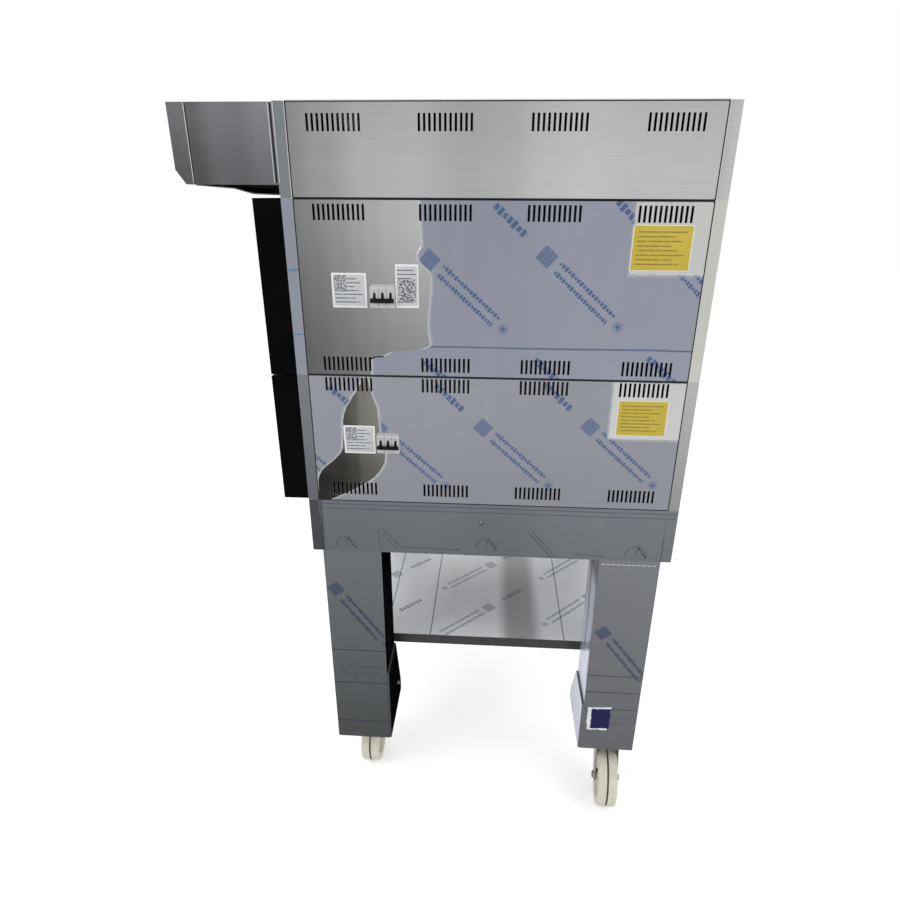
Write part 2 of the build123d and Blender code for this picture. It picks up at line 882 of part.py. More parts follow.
def build_breaker(deck, z_low, rise):
    """A three pole breaker behind the side panel, its nose in the cut-out, and its linked toggles."""
    y_breaker = y_body + breaker_setback
    z_nose = z_low + rise
    x_inside = half_width - sheet
    x_nose = half_width + nose_out
    x_pivot = x_nose - toggle_inset
    with BuildPart() as breaker:
        with BuildSketch(facing_front(y_breaker - breaker_wide / 2)):
            with BuildLine():
                Polyline(
                    (x_inside - breaker_deep, z_nose - breaker_high / 2),
                    (x_inside, z_nose - breaker_high / 2),
                    (x_inside, z_nose - nose_high / 2),
                    (x_nose, z_nose - nose_high / 2),
                    (x_nose, z_nose + nose_high / 2),
                    (x_inside, z_nose + nose_high / 2),
                    (x_inside, z_nose + breaker_high / 2),
                    (x_inside - breaker_deep, z_nose + breaker_high / 2),
                    close=True,
                )
            make_face()
        extrude(amount=-breaker_wide)
        with BuildSketch(facing_side(x_nose)):
            with Locations((y_breaker, z_nose)):
                with GridLocations(toggle_pitch, 1, toggle_count, 1):
                    Rectangle(toggle_wide + 2 * fit_gap, toggle_slot_high)
        extrude(amount=-toggle_slot_deep, mode=Mode.SUBTRACT)
    save(f"{deck}_breaker", breaker)

    pivot = Plane(
        origin=(x_pivot, y_breaker, z_nose),
        x_dir=(cos(radians(toggle_down)), 0, -sin(radians(toggle_down))),
        z_dir=(0, -1, 0),
    )
    tie_long = (toggle_count - 1) * toggle_pitch + toggle_wide
    with BuildPart() as toggle:
        for pole in range(toggle_count):
            along = pole * toggle_pitch - tie_long / 2
            with BuildSketch(pivot.offset(along)):
                few_sided(toggle_hub, rod_sides)
                Rectangle(toggle_reach, toggle_thick, align=(Align.MIN, Align.CENTER))
            extrude(amount=toggle_wide)
        with BuildSketch(pivot.offset(-tie_long / 2)):
            with Locations((toggle_reach, 0)):
                Rectangle(tie_deep, tie_high)
        extrude(amount=tie_long)
    save(f"{deck}_breaker_toggle", toggle)


def build_deck(deck, z_low, height, door_rise, breaker_rise, row_levels, front_rise, front_drop):
    """All pieces of one deck."""
    build_carcass(deck, z_low, height, door_rise)
    right_panel = side_panel(z_low, height, row_levels, z_low + breaker_rise + cutout_lift)
    save(f"{deck}_side_right", right_panel)
    save(f"{deck}_side_left", mirror_to_left(side_panel(z_low, height)))
    build_chamber(deck, z_low, door_rise)
    build_front(deck, z_low, door_rise, z_low + front_rise, height - front_rise - front_drop)
    build_door(deck, z_low, door_rise)
    build_breaker(deck, z_low, breaker_rise)


# Hood

def build_hood():
    """The hood module: casing with its flanged duct spigot, two sides, canopy and drip tray."""
    with BuildPart() as casing:
        wrapped_panel(y_body, 1, z_hood, hood_height)
        wrapped_panel(y_back, -1, z_hood, hood_height)
        floor_sheet(z_hood)
        floor_sheet(z_top - sheet)
        with BuildSketch(Plane.XY.offset(z_top)):
            with Locations((0, y_middle)):
                Circle(duct_radius + fit_gap)
        extrude(amount=-sheet, mode=Mode.SUBTRACT)
        with BuildSketch(facing_front(y_body)):
            with Locations((0, z_top - hood_height / 2)):
                Rectangle(duct_window_width, duct_window_height)
        extrude(amount=-sheet, mode=Mode.SUBTRACT)
    z_flange = z_top - 2 * sheet
    with BuildPart() as spigot:
        with BuildSketch(Plane.XY.offset(z_flange)):
            with Locations((0, y_middle)):
                Circle(duct_radius + duct_flange)
        extrude(amount=sheet)
        with BuildSketch(Plane.XY.offset(z_flange)):
            with Locations((0, y_middle)):
                Circle(duct_radius)
        extrude(amount=duct_height + 2 * sheet)
        with BuildSketch(Plane.XY.offset(z_flange)):
            with Locations((0, y_middle)):
                Circle(duct_radius - sheet)
        extrude(amount=duct_height + 2 * sheet, mode=Mode.SUBTRACT)
    save_together("hood_casing", casing, spigot)

    hood_panel = side_panel(z_hood, hood_height, [z_top - hood_row_drop])
    save("hood_side_right", hood_panel)
    save("hood_side_left", mirror_to_left(side_panel(z_hood, hood_height)))

    z_roof = z_top - canopy_drop
    z_edge = z_hood + canopy_clearance
    y_chamfer = y_canopy + canopy_chamfer_back
    z_chamfer = z_edge + canopy_chamfer_rise
    outline = [
        (y_body, z_roof - canopy_clearance),
        (y_body, z_roof),
        (y_canopy, z_roof),
        (y_canopy, z_chamfer),
        (y_chamfer, z_edge),
        (y_canopy + canopy_lip, z_edge),
    ]
    with BuildPart() as canopy:
        with BuildSketch(facing_side(-half_width)):
            with BuildLine():
                Polyline(*outline)
                offset(amount=sheet, side=Side.LEFT, kind=Kind.INTERSECTION)
            make_face()
        extrude(amount=body_width)
        for x_cheek in (-half_width, half_width - sheet):
            with BuildSketch(facing_side(x_cheek)):
                with BuildLine():
                    Polyline(
                        (y_canopy, z_roof),
                        (y_canopy, z_chamfer),
                        (y_chamfer, z_edge),
                        (y_canopy + canopy_strip, z_edge),
                        (y_canopy + canopy_strip, z_roof),
                        close=True,
                    )
                make_face()
                with Locations((y_canopy + canopy_strip + seam, z_edge)):
                    Rectangle(
                        canopy_reach - canopy_strip - seam,
                        z_roof - z_edge,
                        align=(Align.MIN, Align.MIN),
                    )
            extrude(amount=sheet)
    save("canopy", canopy)

    y_tab = y_canopy + canopy_lip - tray_tab
    y_step = y_canopy + canopy_lip + fit_gap + sheet
    y_first = y_body - tray_bend_one
    y_second = y_body - tray_bend_two
    with BuildPart() as tray:
        with BuildSketch(facing_side(-half_width + sheet + fit_gap)):
            with BuildLine():
                Polyline(
                    (y_tab, z_edge + sheet),
                    (y_step, z_edge + sheet),
                    (y_step, z_edge - sheet),
                    (y_first, z_edge - tray_shallow),
                    (y_second, z_edge - tray_deep),
                    (y_body, z_edge - tray_deep - sheet),
                    (y_body, z_edge),
                )
                offset(amount=sheet, side=Side.LEFT, kind=Kind.INTERSECTION)
            make_face()
        extrude(amount=body_width - 2 * (sheet + fit_gap))
        with BuildSketch(Plane.XY.offset(z_edge + 2 * sheet)):
            with Locations((0, (y_step + y_first) / 2 + sheet)):
                with GridLocations(body_width / (intake_count + 1), 1, intake_count, 1):
                    Rectangle(intake_width, intake_length)
        extrude(amount=-(tray_deep + canopy_clearance), mode=Mode.SUBTRACT)
    save("drip_tray", tray)


def build_glands():
    """One cable gland on each deck's rear panel."""
    with BuildPart() as glands:
        for z_low in (z_lower, z_upper):
            with BuildSketch(facing_front(y_back)):
                with Locations((half_width - gland_inset, z_low + gland_rise)):
                    RegularPolygon(gland_radius, 6)
            extrude(amount=-gland_reach)
            with BuildSketch(facing_front(y_back)):
                with Locations((half_width - gland_inset, z_low + gland_rise)):
                    few_sided(gland_neck - running_gap)
            extrude(amount=gland_neck_length)
            with BuildSketch(facing_front(y_back + gland_reach)):
                with Locations((half_width - gland_inset, z_low + gland_rise)):
                    Circle(gland_bore)
            extrude(amount=gland_reach + gland_neck_length, mode=Mode.SUBTRACT)
    save("cable_glands", glands)


build_base_frame()
build_legs()
build_shelf()
build_caster_plates()
for caster_name, (caster_at_x, caster_at_y, caster_heading) in caster_places.items():
    build_caster(caster_name, caster_at_x, caster_at_y, caster_heading)
build_deck("lower", z_lower, lower_height, lower_door_rise, lower_breaker_rise,
           [z_lower + lower_bottom_row_rise, z_upper - lower_top_row_drop],
           lower_front_rise, lower_front_drop)
build_deck("upper", z_upper, upper_height, upper_door_rise, upper_breaker_rise,
           [z_upper + upper_bottom_row_rise, z_hood - upper_top_row_drop],
           upper_front_rise, upper_front_drop)
build_hood()
build_glands()
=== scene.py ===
"""Looks of a double deck electric oven on a wheeled stand.

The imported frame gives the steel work. This script dresses it: brushed steel under a printed protective film
that is peeled back round the breakers, black enamelled fronts, bare labels, nylon wheels and the fittings.
Lengths are metres in the frame's own axes: +Z up, the doors face -Y and the breakers are on the +X side.
"""
import json
import logging
from dataclasses import dataclass
from enum import Enum
from math import cos, pi, radians, sin, tau
from typing import Dict, Iterable, Optional, Sequence, Tuple, Union

import bpy
import numpy as np
from mathutils import Matrix, Vector


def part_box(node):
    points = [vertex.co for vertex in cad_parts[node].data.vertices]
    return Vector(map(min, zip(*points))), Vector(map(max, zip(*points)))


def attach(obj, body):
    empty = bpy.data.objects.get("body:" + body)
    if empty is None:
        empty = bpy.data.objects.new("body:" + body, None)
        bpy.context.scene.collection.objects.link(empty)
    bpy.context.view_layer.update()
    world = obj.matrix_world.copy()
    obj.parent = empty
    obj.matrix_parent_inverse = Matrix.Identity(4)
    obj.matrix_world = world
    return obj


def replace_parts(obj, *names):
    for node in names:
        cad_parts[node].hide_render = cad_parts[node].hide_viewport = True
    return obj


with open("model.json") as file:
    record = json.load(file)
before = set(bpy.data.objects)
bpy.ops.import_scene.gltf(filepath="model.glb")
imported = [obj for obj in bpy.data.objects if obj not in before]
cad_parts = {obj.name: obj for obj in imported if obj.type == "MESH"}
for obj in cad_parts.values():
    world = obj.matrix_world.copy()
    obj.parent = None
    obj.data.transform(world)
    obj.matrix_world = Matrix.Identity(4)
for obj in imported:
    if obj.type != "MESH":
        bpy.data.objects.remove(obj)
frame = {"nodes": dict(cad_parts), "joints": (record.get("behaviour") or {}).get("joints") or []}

LOG = logging.getLogger("deck_oven")

Colour = Tuple[float, float, float]
Point = Tuple[float, float, float]
Flat = Tuple[float, float]

BODY = "oven_body"
DECKS = ("lower", "upper")
CORNERS = ("front_right", "front_left", "rear_right", "rear_left")
SIDE_FACE = 0.525
LIFT = 0.00002
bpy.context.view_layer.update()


# Surfaces

class Facing(Enum):
    """The way that a piece's own z axis points, with its own x and y axes along the frame's."""

    RIGHT = ((0, 1, 0), (0, 0, 1), (1, 0, 0))
    LEFT = ((0, -1, 0), (0, 0, 1), (-1, 0, 0))
    FRONT = ((1, 0, 0), (0, 0, 1), (0, -1, 0))
    REAR = ((-1, 0, 0), (0, 0, 1), (0, 1, 0))
    TOP = ((1, 0, 0), (0, 1, 0), (0, 0, 1))
    BELOW = ((1, 0, 0), (0, -1, 0), (0, 0, -1))


@dataclass
class Shell:
    """A surface held as plain arrays: its points, the corner numbers of its faces, and a count per face."""

    points: np.ndarray
    corners: np.ndarray
    counts: np.ndarray

    @staticmethod
    def of(shells: Sequence["Shell"]) -> "Shell":
        """Put surfaces into one, with the corner numbers of each shifted past those before it."""
        shifts = np.cumsum([0] + [len(shell.points) for shell in shells[:-1]])
        return Shell(np.concatenate([shell.points for shell in shells]),
                     np.concatenate([shell.corners + shift for shell, shift in zip(shells, shifts)]),
                     np.concatenate([shell.counts for shell in shells]))

    def turned(self, origin: Sequence[float], axes: Union[Facing, np.ndarray] = Facing.TOP) -> "Shell":
        """Carry the surface to a place: each point is x, y, z steps along three axes from the origin.

        Args:
            origin: Where the surface's own zero goes.
            axes: The way it faces, or three rows with the directions of its own x, y and z.

        Returns:
            The surface in the frame's axes.
        """
        rows = np.array(axes.value if isinstance(axes, Facing) else axes, float)
        return Shell(self.points @ rows + np.asarray(origin, float), self.corners, self.counts)

    def piece(self, name: str, material: bpy.types.Material, slot: str, body: str = BODY,
              sharp_from: float = 32.0) -> bpy.types.Object:
        """Make the surface an object that rides on a body.

        Args:
            name: The object's name.
            material: Its finish.
            slot: The record's material slot that the finish belongs to; it is not used.
            body: The frame body that it moves with.
            sharp_from: Edges that turn by more than this many degrees stay sharp.

        Returns:
            The new object, at the origin, with its place in its mesh.
        """
        mesh = bpy.data.meshes.new(name)
        mesh.vertices.add(len(self.points))
        mesh.vertices.foreach_set("co", self.points.astype(np.float32).ravel())
        mesh.loops.add(len(self.corners))
        mesh.loops.foreach_set("vertex_index", self.corners.astype(np.int32))
        mesh.polygons.add(len(self.counts))
        starts = np.concatenate([[0], np.cumsum(self.counts)[:-1]])
        mesh.polygons.foreach_set("loop_start", starts.astype(np.int32))
        mesh.polygons.foreach_set("use_smooth", np.ones(len(self.counts), bool))
        mesh.update(calc_edges=True)
        mesh.validate()
        mesh.set_sharp_from_angle(angle=radians(sharp_from))
        mesh.materials.append(material)
        thing = placed(bpy.data.objects.new(name, mesh))
        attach(thing, body)
        LOG.info("piece %s: %d faces", name, len(self.counts))
        return thing


def placed(thing: bpy.types.Object) -> bpy.types.Object:
    """Put an object into the scene."""
    bpy.context.collection.objects.link(thing)
    return thing


def woven(points: np.ndarray, closed: bool = False) -> Shell:
    """Join a grid of points into faces, with its last column joined to its first.

    Each face takes four neighbours: this point, the next round, the next round and along, the next along.

    Args:
        points: An array of rows, columns and three coordinates.
        closed: Whether the last row is joined to the first too. Otherwise both are filled in.

    Returns:
        The surface.
    """
    rows, columns = points.shape[:2]
    number = np.arange(rows * columns).reshape(rows, columns)
    number = np.concatenate([number, number[:, :1]], axis=1)
    if closed:
        number = np.concatenate([number, number[:1]], axis=0)
    quads = np.stack([number[:-1, :-1], number[:-1, 1:], number[1:, 1:], number[1:, :-1]], axis=-1)
    corners = [quads.reshape(-1)]
    counts = [np.full(quads.size // 4, 4)]
    if not closed:
        corners += [number[0, :-1][::-1], number[-1, :-1]]
        counts += [np.array([columns, columns])]
    return Shell(points.reshape(-1, 3), np.concatenate(corners), np.concatenate(counts))


def stacked(loops: Iterable[Tuple[np.ndarray, float]], closed: bool = False) -> Shell:
    """Weave flat loops, each at its own height; a closed stack is a ring, whose last loop meets its first."""
    rows = [np.concatenate([loop, np.full((len(loop), 1), height)], axis=1) for loop, height in loops]
    return woven(np.stack(rows), closed)


def round_of(angle: np.ndarray) -> np.ndarray:
    """Points of the unit circle: (cos a, sin a)."""
    return np.stack([np.cos(angle), np.sin(angle)], axis=-1)


def full_turn(count: int) -> np.ndarray:
    """The angles of a full turn in even steps."""
    return np.linspace(0.0, tau, count, endpoint=False)


def quarter_turn(count: int) -> np.ndarray:
    """The angles of a quarter turn in even steps, with both ends."""
    return np.linspace(0.0, pi / 2, count)


def lathed(profile: Sequence[Flat], around: int = 64, closed: bool = False) -> Shell:
    """Turn a profile round the z axis: a point of radius r and height h goes to (r cos a, r sin a, h).

    Args:
        profile: Radius and height of each point, going up on an outside, so that faces point outwards.
        around: How many columns the full turn has.
        closed: Whether the profile is a ring of its own, as on a tyre.

    Returns:
        The surface, with flat ends on an open profile.
    """
    circle = round_of(full_turn(around))
    return stacked([(radius * circle, height) for radius, height in profile], closed)


def rounded_outline(half_wide: float, half_high: float, corner: float, steps: int = 6) -> np.ndarray:
    """A rectangle with round corners, counter-clockwise: a quarter circle about each corner's centre.

    Args:
        half_wide: Half its width.
        half_high: Half its height.
        corner: The corner radius.
        steps: Points in each quarter circle.

    Returns:
        An array of flat points.
    """
    quarters = []
    for number, sides in enumerate(((1, 1), (-1, 1), (-1, -1), (1, -1))):
        centre = np.array([sides[0] * (half_wide - corner), sides[1] * (half_high - corner)])
        quarters.append(centre + corner * round_of(quarter_turn(steps) + number * pi / 2))
    return np.concatenate(quarters)


def eased_levels(height: float, edge: float, steps: int = 4, both: bool = True, start: float = 0.0) -> Sequence[Flat]:
    """Insets and heights of a block whose rims are quarter rounds: inset e(1 - sin a), height e(1 - cos a).

    Args:
        height: The block's full height.
        edge: The radius of the round.
        steps: Points in each round.
        both: Whether the bottom rim is rounded too.
        start: Where the block's bottom is.

    Returns:
        Pairs of inset and height, from the bottom up.
    """
    angle = quarter_turn(steps)
    lower = list(zip(edge * (1 - np.sin(angle)), edge * (1 - np.cos(angle)))) if both else [(0.0, 0.0)]
    upper = list(zip(edge * (1 - np.cos(angle)), height - edge * (1 - np.sin(angle))))
    return [(inset, level + start) for inset, level in lower + upper]


def block(half_wide: float, half_high: float, corner: float, levels: Sequence[Flat]) -> Shell:
    """A block with round corners: its outline drawn in by an inset at each height.

    Args:
        half_wide: Half the outline's width.
        half_high: Half the outline's height.
        corner: The outline's corner radius.
        levels: Pairs of inset and height.

    Returns:
        A closed surface whose own z runs through the levels.
    """
    return stacked([(rounded_outline(half_wide - inset, half_high - inset, max(corner - inset, corner / 5)), height)
                    for inset, height in levels])


def leaf(half_wide: float, half_high: float, corner: float, thick: float) -> Shell:
    """A thin block that is lifted a hair off the face it lies on."""
    return block(half_wide, half_high, corner, [(0.0, LIFT), (0.0, thick)])


def rounded_corners(points: Sequence[Flat], radius: float, steps: int = 5) -> np.ndarray:
    """A polygon with its corners rounded: each becomes a curve p(t) = (1-t)^2 a + 2t(1-t) c + t^2 b.

    Args:
        points: The polygon's corners, counter-clockwise.
        radius: How far from each corner its curve starts and ends.
        steps: Points in each curve.

    Returns:
        The outline as flat points.
    """
    corner = np.asarray(points, float)
    before = np.roll(corner, 1, axis=0) - corner
    after = np.roll(corner, -1, axis=0) - corner
    start = corner + before * (radius / np.linalg.norm(before, axis=1, keepdims=True))
    end = corner + after * (radius / np.linalg.norm(after, axis=1, keepdims=True))
    t = np.linspace(0.0, 1.0, steps)[None, :, None]
    curve = (1 - t) ** 2 * start[:, None] + 2 * t * (1 - t) * corner[:, None] + t ** 2 * end[:, None]
    return curve.reshape(-1, 2)


def drawn_in(outline: np.ndarray, amount: float) -> np.ndarray:
    """An outline moved inwards: each point goes along the mean of its two edges' inward normals.

    Args:
        outline: Flat points, counter-clockwise.
        amount: How far they move.

    Returns:
        The smaller outline.
    """
    edge = np.roll(outline, -1, axis=0) - outline
    normal = np.stack([-edge[:, 1], edge[:, 0]], axis=-1)
    normal /= np.linalg.norm(normal, axis=1, keepdims=True) + 1e-12
    mean = normal + np.roll(normal, 1, axis=0)
    mean /= np.linalg.norm(mean, axis=1, keepdims=True) + 1e-12
    return outline + amount * mean


def plate(outline: np.ndarray, levels: Sequence[Flat]) -> Shell:
    """A plate of any outline, drawn in by an inset at each height."""
    return stacked([(drawn_in(outline, inset), height) for inset, height in levels])


def nut(across: float, height: float, turned: float = 0.0) -> Shell:
    """A nut or bolt head whose top rim is chamfered."""
    hexagon = across / 2 * round_of(turned + np.arange(6) * tau / 6)
    return plate(rounded_corners(hexagon, across * 0.03, 3),
                 [(0.0, 0.0), (0.0, height * 0.78), (across * 0.06, height)])


def washer(outer: float, start: float, thick: float, rim: float, around: int) -> Shell:
    """A flat washer whose top rim is drawn in."""
    return lathed([(outer, start), (outer, start + thick), (outer - rim, start + thick + 0.0004)], around)


def dome(radius: float, high: float) -> Shell:
    """A domed rivet head: radius r cos a at height h sin a."""
    return lathed([(radius * cos(a) + 1e-5, high * sin(a)) for a in quarter_turn(7)], 20)


def round_end(radius: float, length: float, steps: int) -> Sequence[Flat]:
    """The profile of a rod's round end, up to its length."""
    return [(radius * cos(a) + 1e-5, length - radius * (1 - sin(a))) for a in quarter_turn(steps)]


# Shader drawing

class Term:
    """A value in a node tree, with the signs of arithmetic, each of which adds a Math node."""

    def __init__(self, graph: "Graph", socket: bpy.types.NodeSocket) -> None:
        """Hold the tree and the socket that gives the value."""
        self.graph, self.socket = graph, socket

    def math(self, operation: str, *others: "Feed", clamp: bool = False) -> "Term":
        """A Math node whose first value is this one."""
        return self.graph.math(operation, self, *others, clamp=clamp)

    def __add__(self, other: "Feed") -> "Term":
        """The sum."""
        return self.math("ADD", other)

    def __sub__(self, other: "Feed") -> "Term":
        """The difference."""
        return self.math("SUBTRACT", other)

    def __rsub__(self, other: float) -> "Term":
        """The difference from a plain value."""
        return self.graph.math("SUBTRACT", other, self)

    def __mul__(self, other: "Feed") -> "Term":
        """The product."""
        return self.math("MULTIPLY", other)

    def __truediv__(self, other: "Feed") -> "Term":
        """The quotient."""
        return self.math("DIVIDE", other)


Feed = Union[Term, float, Colour, Point]
Feeds = Dict[Union[int, str], Feed]
Look = Dict[str, Feed]


class Graph:
    """A node tree being drawn, with a short call for each kind of node that this file uses."""

    def __init__(self, tree: bpy.types.NodeTree) -> None:
        """Hold the tree that the nodes go into."""
        self.tree = tree

    def add(self, kind: str, feeds: Optional[Feeds] = None, **settings: object) -> bpy.types.Node:
        """Add a node.

        Args:
            kind: Blender's name of the node type.
            feeds: What goes into its sockets, by number or name.
            settings: Its plain properties.

        Returns:
            The node.
        """
        node = self.tree.nodes.new(kind)
        for name, value in settings.items():
            setattr(node, name, value)
        for key, value in (feeds or {}).items():
            self.feed(node.inputs[key], value)
        return node

    def term(self, kind: str, feeds: Optional[Feeds] = None, gives: Union[int, str] = 0, **settings: object) -> Term:
        """Add a node, and read one of its outputs."""
        return Term(self, self.add(kind, feeds, **settings).outputs[gives])

    def feed(self, socket: bpy.types.NodeSocket, value: Feed) -> None:
        """Link a socket, or write a plain value or colour on it."""
        if isinstance(value, Term):
            self.tree.links.new(value.socket, socket)
        elif isinstance(value, tuple) and len(value) == 3 and socket.type == "RGBA":
            socket.default_value = (*value, 1.0)
        else:
            socket.default_value = value

    def math(self, operation: str, *values: Feed, clamp: bool = False) -> Term:
        """A Math node, held between 0 and 1 if clamped."""
        return self.term("ShaderNodeMath", dict(enumerate(values)), operation=operation, use_clamp=clamp)

    def spread(self, value: Feed, low: Feed, high: Feed, to_low: Feed = 0.0, to_high: Feed = 1.0,
               smooth: bool = False) -> Term:
        """A Map Range node, held to its limits.

        Args:
            value: What is mapped.
            low: The value that gives to_low.
            high: The value that gives to_high.
            to_low: The result at low.
            to_high: The result at high.
            smooth: Whether the ramp eases in and out.

        Returns:
            The result.
        """
        return self.term("ShaderNodeMapRange", dict(enumerate((value, low, high, to_low, to_high))), "Result",
                         interpolation_type="SMOOTHSTEP" if smooth else "LINEAR")

    def window(self, value: Feed, low: float, high: float, soft: float) -> Term:
        """A mask that is 1 between two values, with soft ends."""
        return (self.spread(value, low - soft, low + soft, smooth=True)
                * self.spread(value, high - soft, high + soft, 1.0, 0.0, smooth=True))

    def scaled(self, vector: Feed, by: Point, turn: Point = (0.0, 0.0, 0.0)) -> Term:
        """A Mapping node: the vector scaled, then turned."""
        return self.term("ShaderNodeMapping", {"Vector": vector, "Scale": by, "Rotation": turn}, "Vector")

    def noise(self, vector: Feed, scale: Feed, detail: float = 2.0, roughness: float = 0.5) -> Term:
        """A Noise Texture's value."""
        return self.term("ShaderNodeTexNoise", {"Vector": vector, "Scale": scale, "Detail": detail,
                                                "Roughness": roughness}, "Fac")

    def blend(self, factor: Feed, first: Feed, second: Feed, mode: str = "MIX") -> Term:
        """A Mix node for colours, which shows the second by the factor."""
        return self.term("ShaderNodeMix", {0: factor, 6: first, 7: second}, 2, data_type="RGBA", blend_type=mode,
                         clamp_factor=True)

    def mixed(self, factor: Feed, first: Feed, second: Feed) -> Term:
        """A Mix node for plain values."""
        return self.term("ShaderNodeMix", {0: factor, 2: first, 3: second}, data_type="FLOAT")

    def shaded(self, tone: Feed, level: Feed) -> Term:
        """A colour multiplied by a level."""
        grey = self.term("ShaderNodeCombineColor", {part: level for part in range(3)})
        return self.blend(1.0, tone, grey, "MULTIPLY")

    def ramp(self, value: Feed, stops: Sequence[Tuple[float, Colour]]) -> Term:
        """A Color Ramp from 0 to 1 with eased steps between its stops."""
        node = self.add("ShaderNodeValToRGB", {"Fac": value})
        line = node.color_ramp
        line.interpolation = "EASE"
        while len(line.elements) < len(stops):
            line.elements.new(1.0)
        for element, (place, colour) in zip(line.elements, stops):
            element.position = place
            element.color = (*colour, 1.0)
        return Term(self, node.outputs["Color"])

    def bend(self, value: Feed, points: Sequence[Flat]) -> Term:
        """A Float Curve through some points, both ways from 0 to 1."""
        node = self.add("ShaderNodeFloatCurve", {"Value": value})
        line = node.mapping.curves[0]
        while len(line.points) < len(points):
            line.points.new(0.5, 0.5)
        for place, spot in zip(line.points, points):
            place.location = spot
            place.handle_type = "AUTO_CLAMPED"
        node.mapping.update()
        return Term(self, node.outputs["Value"])

    def axes(self, vector: Feed) -> Sequence[Term]:
        """The three parts of a vector."""
        return [Term(self, part) for part in self.add("ShaderNodeSeparateXYZ", {0: vector}).outputs]

    def normal(self) -> Term:
        """The surface's normal."""
        return self.term("ShaderNodeNewGeometry", gives="Normal")

    def dot(self, first: Feed, second: Feed) -> Term:
        """The product of two vectors as one value."""
        return self.term("ShaderNodeVectorMath", {0: first, 1: second}, "Value", operation="DOT_PRODUCT")

    def facing(self, way: Point) -> Term:
        """A mask of the faces that look a given way."""
        return self.spread(self.dot(self.normal(), way), 0.6, 0.8)

    def turned_to(self, axis: int) -> Term:
        """A mask of the faces that look either way along an axis."""
        return self.spread(self.axes(self.normal())[axis].math("ABSOLUTE"), 0.6, 0.8)

    def place(self) -> Term:
        """Object coordinates, which are the frame's own metres."""
        return self.term("ShaderNodeTexCoord", gives="Object")

    def bump(self, height: Feed, distance: float, strength: float = 1.0, normal: Optional[Term] = None) -> Term:
        """A Bump node's normal."""
        feeds = {"Strength": strength, "Distance": distance, "Height": height}
        return self.term("ShaderNodeBump", feeds if normal is None else {**feeds, "Normal": normal}, "Normal")

    def effect(self, effect: "Effect", **inputs: Feed) -> Dict[str, Term]:
        """Place a shared effect, and read its outputs by name."""
        node = self.add("ShaderNodeGroup", node_tree=effect.group)
        for name, value in inputs.items():
            self.feed(node.inputs[name], value)
        return {socket.name: Term(self, socket) for socket in node.outputs}


class Effect:
    """A shader effect that several finishes share, drawn once as a node group."""

    name: str = "effect"
    takes: Sequence[Tuple[str, Optional[float]]] = ()
    gives: Sequence[Tuple[str, str]] = ()

    def __init__(self) -> None:
        """Make the group's sockets and draw what is between them. An input without a value is a vector."""
        self.group = bpy.data.node_groups.new(self.name, "ShaderNodeTree")
        for name, value in self.takes:
            kind = "NodeSocketVector" if value is None else "NodeSocketFloat"
            socket = self.group.interface.new_socket(name=name, in_out="INPUT", socket_type=kind)
            if value is not None:
                socket.default_value = value
        for name, kind in self.gives:
            self.group.interface.new_socket(name=name, in_out="OUTPUT", socket_type=kind)
        graph = Graph(self.group)
        start, end = graph.add("NodeGroupInput"), graph.add("NodeGroupOutput")
        for name, value in self.draw(graph, {socket.name: Term(graph, socket) for socket in start.outputs}).items():
            graph.feed(end.inputs[name], value)

    def draw(self, graph: Graph, given: Dict[str, Term]) -> Dict[str, Term]:
        """Draw the effect.

        Args:
            graph: The group's tree.
            given: The group's inputs by name.

        Returns:
            A value for each output by name.
        """
        raise NotImplementedError


VALUE = "NodeSocketFloat"


class BrushedGrain(Effect):
    """Fine scratches: noise drawn out along the grain, in long and short strokes."""

    name = "brushed_grain"
    takes = (("Strokes", None), ("Depth", 1.0))
    gives = (("Tone", VALUE), ("Height", VALUE))

    def draw(self, graph: Graph, given: Dict[str, Term]) -> Dict[str, Term]:
        """Long strokes carry the tone, and short ones break them up."""
        long = graph.noise(given["Strokes"], 1.0, 3.0, 0.6)
        short = graph.noise(graph.scaled(given["Strokes"], (7.0, 7.0, 2.3)), 1.0, 2.0, 0.7)
        mixed = long * 0.6 + short * 0.4
        return {"Tone": graph.spread(mixed, 0.3, 0.7, -1.0, 1.0) * given["Depth"], "Height": mixed * given["Depth"]}


class RubbedEdgesAndHighlight(Effect):
    """Paler edges, partly from rubbing and partly a painted highlight where a rounded edge would catch light: how far
    the softened normal leans from the true one, broken up by noise.
    """

    name = "edge_wear"
    takes = (("Place", None), ("Amount", 1.0))
    gives = (("Mask", VALUE), ("Normal", "NodeSocketVector"))
    radius = 0.0008

    def draw(self, graph: Graph, given: Dict[str, Term]) -> Dict[str, Term]:
        """The lean is one minus the two normals' product."""
        soft = graph.term("ShaderNodeBevel", {"Radius": self.radius}, samples=4)
        lean = 1.0 - graph.dot(soft, graph.normal())
        broken = graph.spread(graph.noise(given["Place"], 90.0, 3.0), 0.35, 0.6, 0.35, 1.0)
        mask = graph.spread(lean, 0.02, 0.2) * broken
        return {"Mask": mask.math("MULTIPLY", given["Amount"], clamp=True), "Normal": soft}


class Dust(Effect):
    """Dust that has settled where a surface looks up, in patches."""

    name = "settled_dust"
    takes = (("Place", None), ("Amount", 0.3))
    gives = (("Mask", VALUE),)

    def draw(self, graph: Graph, given: Dict[str, Term]) -> Dict[str, Term]:
        """The upward part of the normal times broad noise, with fine grains on it."""
        facing = graph.spread(graph.axes(graph.normal())[2], 0.2, 1.0, 0.12, 1.0)
        patches = graph.spread(graph.noise(given["Place"], 6.0, 4.0), 0.4, 0.65, 0.2, 1.0)
        grains = graph.spread(graph.noise(given["Place"], 420.0, 2.0), 0.45, 0.62, 0.3, 1.0)
        return {"Mask": (facing * patches * grains).math("MULTIPLY", given["Amount"], clamp=True)}


